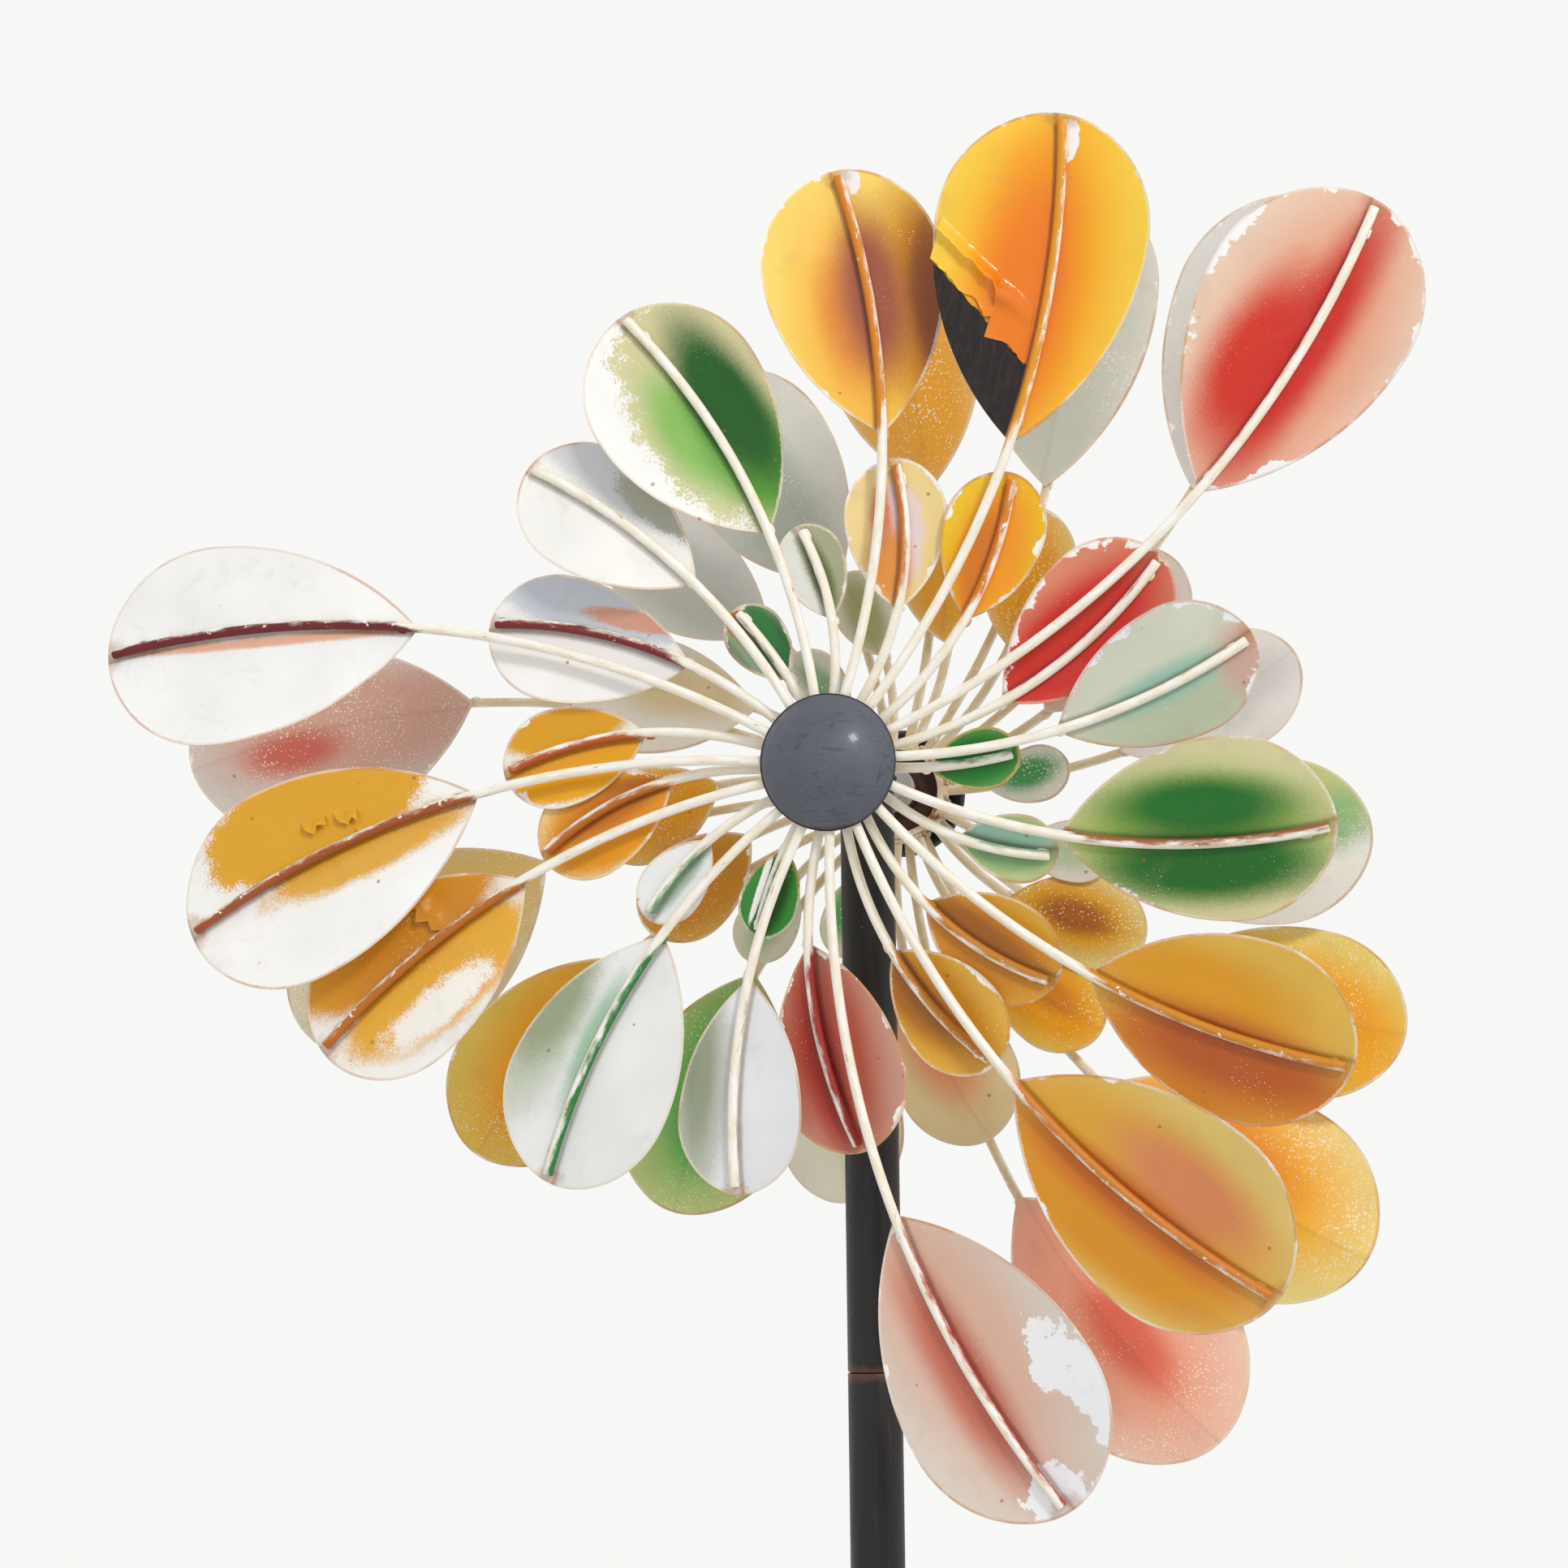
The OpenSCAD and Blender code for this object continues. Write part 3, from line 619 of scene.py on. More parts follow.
def wire_mesh(stem, seed, sides=14, steps=44):
    """Points, faces and flow values of one wire, with a square-cut, slightly burred end. It starts
    ROOT_DEPTH inside its root weld, and each wire's flow is shifted so that no two look alike."""
    end = stem.swing_to(stem.tip)
    start = -ROOT_DEPTH / stem.bend
    burr, burr_shrink = 0.35, 0.86
    swings = np.concatenate([np.linspace(start, end, steps), [end + burr / stem.bend]])
    angles = np.linspace(0, 2 * math.pi, sides, endpoint=False)
    points, flow = [], []
    for i, s in enumerate(swings):
        thick = WIRE_R * (burr_shrink if i == steps else 1.0)
        middle = stem.at(s)
        run = (s - start) * stem.bend
        out = np.array([math.sin(s - stem.lean), -math.cos(s - stem.lean)])
        for a in angles:
            xy = middle + out * thick * math.cos(a)
            points.append((xy[0], xy[1], stem.row + thick * math.sin(a)))
            flow.append((run + seed * FLOW_STEP, math.cos(a), math.sin(a)))
    points, faces = np.array(points), ring_faces(len(swings), sides, False)
    faces += [list(range(sides))[::-1], list(range(len(points) - sides, len(points)))]
    return points, faces, np.array(flow)


def tacks_on(stem, seed):
    """Two small weld beads beside a stem, near the two ends of its run on the petal."""
    rng = np.random.default_rng(seed)
    end = stem.swing_to(stem.tip)
    base = end - stem.size[0] / stem.bend
    parts = []
    for share in (0.05, 0.94):
        s = base + (end - base) * (share + rng.uniform(-0.04, 0.04))
        out = np.array([math.sin(s - stem.lean), -math.cos(s - stem.lean), 0])
        along = np.array([out[1], -out[0], 0]) * -1
        side = 1 if rng.random() < 0.7 else -1
        p = stem.at(s, side * (WIRE_R - 0.1))
        centre = np.array([p[0], p[1], stem.row - WIRE_R + 0.9])
        radii = (rng.uniform(1.6, 2.6), 0.8, 0.8)
        verts, faces = bead(centre, [along, out, (0, 0, 1)], radii, seed + share)
        run = (s + ROOT_DEPTH / stem.bend) * stem.bend + seed * FLOW_STEP
        flow = np.column_stack([np.full(len(verts), run) + verts[:, 2] * 0.4,
                                np.full(len(verts), side * 0.6), np.full(len(verts), 0.4)])
        parts.append((verts, faces, flow))
    return parts


# The mist on a wire starts before the petal's point and is full this many mm past it.
MIST_RUN, MIST_START = 24.0, 0.35


def rotor_stems(rotor, s):
    """All ten stems of one sweep, with their tack welds, as one piece in one coat of paint."""
    all_points, all_faces, all_flow, all_mist = [], [], [], []
    for row in ("outer", "inner"):
        for k in range(5):
            stem, turn = stem_of(rotor, row, s, k)
            place = on_rotor(rotor, turn)
            seed = 1 + k + 5 * s + (20 if row == "inner" else 0) + (50 if rotor == "rear" else 0)
            code, strength = MIST[rotor][row][s][k]
            base_swing = stem.swing_to(stem.tip) - stem.size[0] / stem.bend
            on_petal = base_swing * stem.bend
            for points, faces, flow in [wire_mesh(stem, seed)] + tacks_on(stem, seed):
                count = sum(len(p) for p in all_points)
                all_points.append(place(points))
                all_faces += [[i + count for i in f] for f in faces]
                all_flow.append(flow)
                past_point = flow[:, 0] - seed * FLOW_STEP - on_petal
                reach = np.clip(past_point / MIST_RUN + MIST_START, 0.0, 1.0)
                mist = np.tile(paint_colour(code), (len(points), 1))
                mist[:, 3] = strength * reach
                all_mist.append(mist)
    name = f"{rotor}_wires_{'abc'[s]}"
    obj = make(name, np.concatenate(all_points), all_faces, upright, wire_finish, 50.0,
               {"flow": ("FLOAT_VECTOR", np.concatenate(all_flow)),
                "mist": ("FLOAT_COLOR", np.concatenate(all_mist))})
    outward(obj)
    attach(obj, f"{rotor}_rotor")
    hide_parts(f"{rotor}_stems_{'abc'[s]}")


def stem_of(rotor, row, s, k):
    """Stem k of sweep s in that row, and the bearing where it leaves the hub, in degrees."""
    if row == "outer":
        tip, bend, lean, size = OUTER[k]
        tip += OUTER_EXTRA[rotor][s][k]
        turn = FIRST_OUTER + OUTER_SET[rotor][s][k]
    else:
        tip, bend, lean, size = INNER[k]
        turn = FIRST_INNER + INNER_SET[rotor][s][k]
    turn += -STEM_STEP * k - SWEEP_STEP * s + (REAR_TURN if rotor == "rear" else 0)
    return Stem(tip, bend, lean, size, outer_row if row == "outer" else inner_row), turn


# ---------------------------------------------------------------- petals


def half_width(size, xs):
    """Half the petal's width at each distance from its point."""
    length, r = size[0], size[1] / 2
    shoulder = 1.12 * r
    nose_r = 0.8 * r
    nose_x = shoulder - nose_r
    point = length - shoulder
    point_r = (point * point + r * r) / (2 * r)
    shoulder_r = (nose_x * nose_x / (r - nose_r) + r + nose_r) / 2
    meet = nose_x * shoulder_r / (shoulder_r - nose_r)
    out = []
    for x in xs:
        u = x - point
        if u <= 0:
            y = math.sqrt(max(point_r ** 2 - u * u, 0)) - (point_r - r)
        elif u <= meet:
            y = math.sqrt(shoulder_r ** 2 - u * u) - (shoulder_r - r)
        else:
            y = math.sqrt(max(nose_r ** 2 - (u - nose_x) ** 2, 0))
        out.append(max(y, 0.0))
    return np.array(out)


# The sheet is stiff for this many mm beside its fold; past that it has dents this deep in mm, and
# each half dishes by this share of its width.
STIFF, DENT, DISH = 14, 1.3, 0.05
# The sheared rim bulges by this much, and the paint on the underside is shifted by this much.
RIM_BULGE, UNDERSIDE = 0.22, 240.0


class Petal:
    """The folded sheet behind one stem. Flat coordinates run from its point along its middle (x)
    and across it towards the inside of the stem's bend (y)."""

    def __init__(self, stem, tilt):
        self.stem, self.size = stem, stem.size
        self.near = math.radians(tilt[0] + tilt[1])
        self.far = math.radians(tilt[0] - tilt[1])
        end = stem.swing_to(stem.tip + TIP_LIP)
        start = end - 2 * math.asin(stem.size[0] / (2 * stem.bend))
        self.base, tip = stem.at(start), stem.at(end)
        self.along = (tip - self.base) / np.linalg.norm(tip - self.base)
        self.across = np.array([-self.along[1], self.along[0]])
        self.fold_r = stem.bend - FOLD_OFF
        self.fold_z = stem.row - WIRE_R + PETAL_SINK - FOLD_OFF * math.tan(self.far)

    def fold_y(self, x):
        """Where the fold crosses the sheet at that distance from its point."""
        rel = self.stem.centre - self.base
        cx, cy = rel @ self.along, rel @ self.across
        return cy - math.sqrt(self.fold_r ** 2 - (x - cx) ** 2)

    def lift(self, flat, seed):
        """Places flat points on the folded, slightly dished and dented sheet."""
        flat = np.asarray(flat, float)
        xy = self.base + flat[:, :1] * self.along + flat[:, 1:2] * self.across
        d = np.linalg.norm(xy - self.stem.centre, axis=1) - self.fold_r
        slope = np.where(d > 0, math.tan(self.far), -math.tan(self.near))
        half = self.size[1] / 2
        away = np.clip(np.abs(d) / STIFF, 0, 1) ** 2
        dish = -DISH * np.abs(d) * np.clip(1 - np.abs(d) / half, 0, 1)
        dents = wobble(np.column_stack([flat, np.zeros(len(flat))]), half, DENT, seed) * away
        z = self.fold_z + d * slope + dish + dents
        return np.column_stack([xy, z]), d


def petal_mesh(petal, seed, rows=46, lobe=11):
    """Closed thin-sheet mesh of one petal with its flat, rim and fold values."""
    length = petal.size[0]
    xs = length * (1 - np.cos(np.linspace(0, math.pi, rows + 1)[1:-1])) / 2
    half = half_width(petal.size, xs)
    spread = (1 - np.cos(np.linspace(0, math.pi, lobe + 1))) / 2
    flat, cols = [], 2 * lobe + 1
    for x, h in zip(xs, half):
        fold = min(max(petal.fold_y(x), -0.8 * h), 0.8 * h)
        ys = np.concatenate([-h + (fold + h) * spread, (fold + (h - fold) * spread)[1:]])
        flat += [(x, y) for y in ys]
    flat += [(0.0, 0.0), (length, 0.0)]
    flat = np.array(flat)
    count = len(flat)
    n = len(xs)
    edge = [count - 2] + [i * cols for i in range(n)] + [count - 1]
    edge += [i * cols + cols - 1 for i in range(n)][::-1]
    border = flat[edge]
    seg = np.roll(border, -1, axis=0) - border
    rim = np.full(count, np.inf)
    for a, v in zip(border, seg):
        t = np.clip(((flat - a) @ v) / max(v @ v, 1e-9), 0, 1)
        rim = np.minimum(rim, np.linalg.norm(flat - a - t[:, None] * v, axis=1))
    top, fold = petal.lift(flat, seed)
    under = top - np.array([0, 0, SHEET_T])
    middle = flat[edge] - flat.mean(axis=0)
    bulge = flat[edge] + middle / np.linalg.norm(middle, axis=1)[:, None] * RIM_BULGE
    mid, _ = petal.lift(bulge, seed)
    mid = mid - np.array([0, 0, SHEET_T / 2])
    points = np.concatenate([top, under, mid])
    faces = []
    for i in range(n - 1):
        for j in range(cols - 1):
            a, b = i * cols + j, (i + 1) * cols + j
            faces.append((a, b, b + 1, a + 1))
            faces.append((count + a, count + a + 1, count + b + 1, count + b))
    for j in range(cols - 1):
        last = (n - 1) * cols
        faces += [(count - 2, j, j + 1), (count + count - 2, count + j + 1, count + j)]
        faces += [(count - 1, last + j + 1, last + j),
                  (2 * count - 1, count + last + j, count + last + j + 1)]
    ring = len(edge)
    for i in range(ring):
        j = (i + 1) % ring
        faces.append((edge[i], edge[j], 2 * count + j, 2 * count + i))
        faces.append((2 * count + i, 2 * count + j, count + edge[j], count + edge[i]))
    values = {"flat": ("FLOAT_VECTOR", np.concatenate([
                  np.column_stack([flat, np.zeros(count)]),
                  np.column_stack([flat, np.full(count, UNDERSIDE)]),
                  np.column_stack([flat[edge], np.zeros(ring)])])),
              "rim": ("FLOAT", np.concatenate([rim, rim, np.zeros(ring)])),
              "fold": ("FLOAT", np.concatenate([fold, fold, fold[edge]]))}
    return points, faces, values


def hang_petal(rotor, row, s, k, scheme, node, slot):
    """Makes, paints and hangs petal k of sweep s, and returns what loose paint on it needs."""
    stem, turn = stem_of(rotor, row, s, k)
    petal = Petal(stem, OUTER_TILT if row == "outer" else INNER_TILT)
    seed = 100 + k + 5 * s + (40 if row == "inner" else 0) + (80 if rotor == "rear" else 0)
    label = f"{rotor}_{row}_leaf_{'abc'[s]}{k + 1}"
    options = dict(scheme)
    spots, base = options.pop("spots"), options.pop("base")
    # How dark the dirt and painted shade in the fold beside the stem are: less on the rear rotor.
    options.setdefault("fold_dirt_and_shade", 0.5 if rotor == "front" else 0.1)
    material = sprayed_enamel(f"sprayed_enamel_on_sheet_steel_{rotor}_{row}_{'abc'[s]}{k + 1}",
                              stem.size, base, spots, seed, **options)
    points, faces, values = petal_mesh(petal, seed)
    obj = make(label, points, faces, on_rotor(rotor, turn), material, 46.0, values)
    outward(obj)
    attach(obj, f"{rotor}_rotor")
    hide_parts(node)
    return petal, turn, material, seed


# Paint schemes. A spot is its colour, its place along (0 point to 1 end) and across (-1 to 1, plus
# is the inside of the bend), its reach along and across, how soft it fades and how ragged it is.
# The very hard ones (.05) are places where the colour has flaked off down to the white coat.
# Many petals carry darker colours on their minus half, outside the stem's bend: partly their paint and
# partly painted shade of that half.
FRONT_OUTER = [
    [dict(base="F3F2ED", spots=[("CCCED2", .60, -.84, .62, .62, .35, .08),
                                ("A8AA9A", .36, -.62, .26, .26, .3, .5)], chips=.08, fold_dirt_and_shade=.4),
     dict(base="F7F7F3", spots=[("D1CB9A", .50, -.30, .52, .88, .12, .34),
                                ("81B652", .47, .10, .26, .34, 1.0, .06),
                                ("599D2D", .30, -.34, .32, .44, .8, .04),
                                ("055605", .50, -.44, .36, .38, .8, .03)], chips=.06, specks=.15),
     dict(base="F7D869", spots=[("F2B73E", .40, .04, .46, .68, .9, .03),
                                # These two dark browns along the minus edge are partly paint and partly a
                                # painted shadow of the next petal, which lies over this one.
                                ("CD8905", .40, -.80, .50, .58, .7, .03),
                                ("924805", .38, -.88, .36, .36, .9, .03),
                                ("DD872D", .45, .16, .24, .28, 1.0, .03),
                                ("A1563B", .52, -.16, .30, .34, .9, .03),
                                ("F1F0EE", .95, -.12, .05, .13, .05, .6)],
          chips=.28, gloss=.14, rim="F3E7C7"),
     dict(base="F3CB40", spots=[("F1A605", .50, 0, .50, .70, .8, .02),
                                ("E87905", .46, .06, .38, .44, 1.0, .02),
                                ("F1F0EE", .92, -.10, .06, .10, .05, .6)],
          chips=.14, gloss=.08, bare=(32.0, .84)),
     dict(base="E6C9B1", spots=[("E19A7A", .50, -.10, .48, .70, 1.0, .05),
                                ("CD2605", .42, .18, .28, .40, .9, .04),
                                ("C91D0A", .54, -.14, .46, .28, 1.0, .04)],
          chips=.64, rim="E9D8D1", worn="F1F2F0")],
    [dict(base="CED1BD", spots=[("B4BDA1", .50, -.55, .55, .50, .9, .05),
                                ("98BEAD", .58, -.08, .34, .26, .9, .04),
                                ("C7A292", .96, -.30, .16, .60, .8, .08)],
          chips=.5, worn="E4E9EE", rim="D7A594"),
     dict(base="D5CF9D", spots=[("97B74F", .50, -.04, .46, .66, .8, .03),
                                ("056B12", .52, .26, .32, .32, .9, .03),
                                ("056205", .54, -.38, .40, .40, .8, .03)],
          chips=.3, worn="E6EAEE"),
     dict(base="DEB449", spots=[("DB9805", .38, .24, .40, .46, .9, .03),
                                ("CF7F05", .55, -.48, .50, .56, .8, .03),
                                ("B25205", .58, -.34, .40, .36, 1.0, .03)], chips=.08,
          rim="EADBC2", gloss=.24),
     dict(base="DEC06D", spots=[("DEA72D", .44, -.08, .52, .72, .8, .03),
                                ("D38C05", .50, -.48, .46, .42, .8, .03),
                                ("D78552", .60, .26, .25, .34, 1.0, .03),
                                ("C96905", .50, -.20, .40, .20, 1.0, .03)], chips=.2, rim="E8E4DB"),
     dict(base="DBCFC2", spots=[("DCB39D", .42, -.06, .50, .66, .9, .05),
                                ("C46952", .50, -.20, .36, .26, 1.0, .04),
                                ("F2F3F5", .80, .84, .23, .22, .05, .75),
                                ("F2F3F5", .60, .62, .12, .20, .05, .80),
                                ("F2F3F5", .97, -.02, .11, .34, .05, .60)],
          chips=.26, worn="F3F4F6", rim="E4D7CF")],
    [dict(base="E7E8EC", spots=[("BABEB2", .50, -.86, .60, .62, .4, .08),
                                ("959D85", .44, -.70, .38, .24, .9, .1)], chips=.08),
     dict(base="EFF0EE", spots=[("C4CBBA", .46, -.90, .44, .52, .7, .14),
                                ("96A17F", .36, -.86, .28, .34, .8, .14),
                                ("A3C4A9", .46, -.24, .24, .12, 1.0, .2)], chips=.06, specks=.15),
     dict(base="F6F4EE", spots=[("E5A92D", .48, .24, .43, .56, .3, .16),
                                ("D79405", .50, -.62, .49, .62, .2, .08),
                                ("CD8505", .46, -.34, .38, .28, .9, .04),
                                ("F6F3EA", .54, .50, .24, .22, .55, .75)], chips=.10, specks=.25),
     dict(base="F8F7F3", spots=[("E1A93B", .38, .04, .34, .22, .5, .3),
                                ("DEA31B", .50, -.54, .38, .56, .14, .2)], chips=.08, specks=.12),
     dict(base="F6F6F3", spots=[("E6B294", .45, .00, .50, .05, .8, .35)], chips=.06, rim="E8D7C2")],
]
FRONT_INNER = [
    [dict(base="8AA182", spots=[("267433", .5, -.35, .5, .55, .6, .1),
                                ("B26A40", .85, .2, .28, .4, .6, .3)], chips=.3),
     dict(base="E3E5DE", spots=[("A3A685", .55, -.5, .6, .75, .4, .12),
                                ("667640", .45, -.15, .35, .3, .8, .1)], chips=.25),
     dict(base="EFD492", spots=[("E6D1D1", .50, -.05, .34, .50, .35, .35),
                                ("E49640", .30, .15, .26, .40, .8, .1),
                                ("D88759", .62, .30, .20, .20, .7, .3)], chips=.55, gloss=.3, rim="F3EDE4"),
     dict(base="E8BC05", spots=[("EE9605", .45, -.1, .46, .70, .8, .03),
                                ("D87A05", .40, .12, .32, .28, .9, .03)], chips=.35, gloss=.26),
     dict(base="D88566", spots=[("CF2317", .45, -.05, .50, .70, .7, .03),
                                ("CB230C", .40, .15, .36, .30, .9, .03)], chips=.5, gloss=.3,
          rim="E8B69D")],
    [dict(base="54963E", spots=[("057417", .5, 0, .5, .8, .6, .04)], chips=.15, gloss=.28, rim="D8B674"),
     dict(base="B5C285", spots=[("8EB6A1", .45, .3, .5, .5, .7, .05),
                                ("79A56C", .5, -.3, .4, .4, .8, .05)], chips=.2),
     dict(base="D8A533", spots=[("C87F05", .5, -.1, .5, .75, .85, .03),
                                ("B16905", .4, .1, .35, .3, .9, .03)], chips=.2, gloss=.3),
     dict(base="DCAD3B", spots=[("C88505", .45, -.1, .5, .75, .85, .03),
                                ("A56205", .35, -.3, .35, .4, .9, .03)], chips=.3, gloss=.3),
     dict(base="C89681", spots=[("B65640", .5, -.1, .5, .75, .85, .05),
                                ("A0230C", .55, -.25, .40, .28, .9, .03)], chips=.32, rim="DFA571")],
    [dict(base="2B852A", spots=[("054205", .5, .05, .48, .5, .7, .04),
                                ("F2F2EE", .45, -.42, .44, .12, .3, .2)], chips=.25),
     dict(base="EDEFF0", spots=[("A6BEA9", .5, .05, .45, .28, .8, .2)], chips=.2),
     dict(base="EBCA85", spots=[("E39605", .48, .1, .52, .85, .35, .12),
                                ("C87405", .4, -.15, .4, .35, .8, .05)], chips=.35, specks=.2),
     dict(base="EFEDE1", spots=[("E8A505", .52, .30, .52, .62, .2, .12),
                                ("DC9D05", .50, -.55, .46, .45, .3, .15)], chips=.3, specks=.15),
     dict(base="F4F3F0", spots=[("C5CAD3", .45, -.62, .55, .46, .25, .12),
                                ("CF9881", .30, -.50, .26, .16, .4, .4)], chips=.2)],
]
REAR_OUTER = [
    [dict(base="DEDFDB", spots=[("C4C9C2", .5, .1, .45, .6, .9, .15)], chips=.2, specks=.3),
     dict(base="D9DBD5", spots=[("B2BEB2", .4, .1, .4, .5, .9, .2)], chips=.15, specks=.35),
     dict(base="E6D29F", spots=[("E19F26", .42, 0, .48, .85, .85, .06)], chips=.15, specks=.4),
     dict(base="D9DBD3", spots=[("C0C8BB", .5, 0, .5, .7, .9, .2)], chips=.3, specks=.4),
     dict(base="E4E5E0", spots=[("CCCFCB", .4, 0, .5, .7, .9, .2)], chips=.3, specks=.25)],
    [dict(base="EAEAE6", spots=[("D1D2CE", .6, 0, .4, .5, .9, .3)], chips=.2, specks=.2),
     dict(base="E6E6DD", spots=[("C1CB87", .60, .50, .50, .55, .6, .25),
                                ("79B478", .62, .20, .34, .40, 1.0, .30)], chips=.15, specks=.45),
     dict(base="E4CB66", spots=[("F0A905", .50, -.15, .52, .86, .5, .05),
                                ("EB9705", .50, 0, .34, .45, .9, .04)], chips=.15, specks=.4),
     dict(base="E9D887", spots=[("F2AD05", .45, .1, .46, .80, .85, .05),
                                ("E98A05", .42, .15, .28, .38, .9, .05)], chips=.2, specks=.42),
     dict(base="EDC8B2", spots=[("EDA183", .45, 0, .48, .78, .9, .05),
                                ("E1664B", .56, .00, .20, .28, 1.0, .06)], chips=.2, specks=.42)],
    [dict(base="ECEBD5", spots=[("DCDFBC", .4, 0, .4, .5, .9, .1)], chips=.1, specks=.4),
     dict(base="CACF89", spots=[("77B356", .46, 0, .46, .75, .85, .05),
                                ("269636", .50, .05, .28, .40, .9, .04)], chips=.15, specks=.4),
     dict(base="D8C054", spots=[("DD9A05", .46, .05, .48, .80, .85, .05),
                                ("CB8105", .40, .1, .34, .40, .9, .04)], chips=.25, specks=.3),
     dict(base="D7D1BC", spots=[("DCBC6D", .40, -.1, .48, .72, .8, .15)], chips=.25, specks=.5),
     dict(base="D5CEC7", spots=[("CEA08E", .42, -.05, .50, .60, .8, .12),
                                ("C4604E", .64, .10, .16, .20, 1.0, .14)], chips=.35, specks=.6)],
]
REAR_INNER = [
    [dict(base="D5DBCA", spots=[("8AB085", .45, 0, .4, .5, .9, .1)], specks=.3),
     dict(base="DBDBC7", spots=[("A5A974", .5, 0, .45, .6, .8, .1)], specks=.3),
     dict(base="E7CE89", spots=[("DB9A1F", .45, 0, .46, .7, .8, .05)], specks=.35),
     dict(base="E9CF7F", spots=[("E59F05", .5, 0, .46, .75, .8, .05)], specks=.5),
     dict(base="E6E1D9", spots=[("DCA689", .4, .1, .4, .5, .8, .1)], specks=.3)],
    [dict(base="DCE3D3", spots=[("429D59", .5, .1, .36, .55, .9, .08)], specks=.5),
     dict(base="E3E3D7", spots=[("B7CCA5", .5, 0, .4, .6, .9, .1)], specks=.4),
     dict(base="E6D98E", spots=[("DC9F05", .46, .05, .48, .76, .8, .05),
                                ("A55B05", .48, .05, .26, .36, .9, .04)], specks=.5),
     dict(base="EBCA52", spots=[("F0A305", .5, 0, .5, .8, .7, .05),
                                ("D88505", .5, .1, .3, .3, .9, .04)], specks=.4),
     dict(base="EFDBA5", spots=[("EE9666", .38, 0, .38, .6, .9, .05)], specks=.42)],
    [dict(base="DFE6C7", spots=[("5AAB60", .45, -.2, .34, .5, .9, .06)], specks=.45),
     dict(base="DDE1C7", spots=[("A5C096", .45, 0, .4, .55, .9, .08)], specks=.4),
     dict(base="DCB24F", spots=[("C88505", .5, .1, .5, .8, .8, .05)], specks=.35),
     dict(base="E6C264", spots=[("DE9805", .5, 0, .5, .8, .8, .05)], specks=.4),
     dict(base="ECE9DC", spots=[("E1CEA3", .4, -.2, .4, .5, .8, .1)], specks=.3)],
]
SCHEMES = {"front": {"outer": FRONT_OUTER, "inner": FRONT_INNER},
           "rear": {"outer": REAR_OUTER, "inner": REAR_INNER}}
# Colour misted on each stem, and how much of it: about 0.2 is a trace, 0.9 covers the wire.
MIST = {
    "front": {
        "outer": [[("8A9A78", .30), ("6A9A58", .30), ("D68216", .92), ("DC9414", .95), ("C4502E", .35)],
                  [("C98A52", .30), ("9C5A30", .66), ("CC8212", .92), ("CC7A22", .90), ("B03C34", .50)],
                  [("9A9A70", .30), ("1F7A34", .66), ("B86A14", .90), ("A04E1C", .88), ("6A1418", .92)]],
        "inner": [[("2C6A34", .5), ("6E7C4E", .4), ("D07A24", .8), ("D07A14", .85), ("C03A2E", .40)],
                  [("1C7A2C", .6), ("8FB490", .5), ("C07A1C", .85), ("C07A1C", .85), ("98221C", .80)],
                  [("0E5A1C", .7), ("6E9A70", .6), ("B86A1C", .8), ("B85A1C", .8), ("7A1E20", .85)]]},
    "rear": {row: [[("D9C9A0", .2)] * 5] * 3 for row in ("outer", "inner")},
}
OUTER_SLOTS = ["petal_white", "petal_green", "petal_gold", "petal_orange", "petal_red"]
INNER_GROUP = ["green", "pale", "amber", "amber", "red"]
INNER_SLOTS = ["petal_green", "petal_white", "petal_orange", "petal_orange", "petal_red"]

hung = {}
for rotor in ("front", "rear"):
    for s in range(3):
        rotor_stems(rotor, s)
        for k in range(5):
            hung[rotor, s, k] = hang_petal(rotor, "outer", s, k, SCHEMES[rotor]["outer"][s][k],
                                           f"{rotor}_outer_petal_{'abc'[s]}{k + 1}", OUTER_SLOTS[k])
            hang_petal(rotor, "inner", s, k, SCHEMES[rotor]["inner"][s][k],
                       f"{rotor}_inner_petals_{INNER_GROUP[k]}", INNER_SLOTS[k])

# ---------------------------------------------------------------- loose paint


SKIN_T = 0.25


def torn(corners, count):
    """Points along a torn line through those corners, slightly nibbled."""
    corners = np.array(corners, float)
    run = np.concatenate([[0], np.cumsum(np.linalg.norm(np.diff(corners, axis=0), axis=1))])
    at = np.linspace(0, run[-1], count)
    line = np.column_stack([np.interp(at, run, corners[:, 0]), np.interp(at, run, corners[:, 1])])
    nibble = wobble(np.column_stack([line, at]), 2.6, 0.5, 9)
    nibble[0] = nibble[-1] = 0
    return line + np.column_stack([nibble, -nibble])


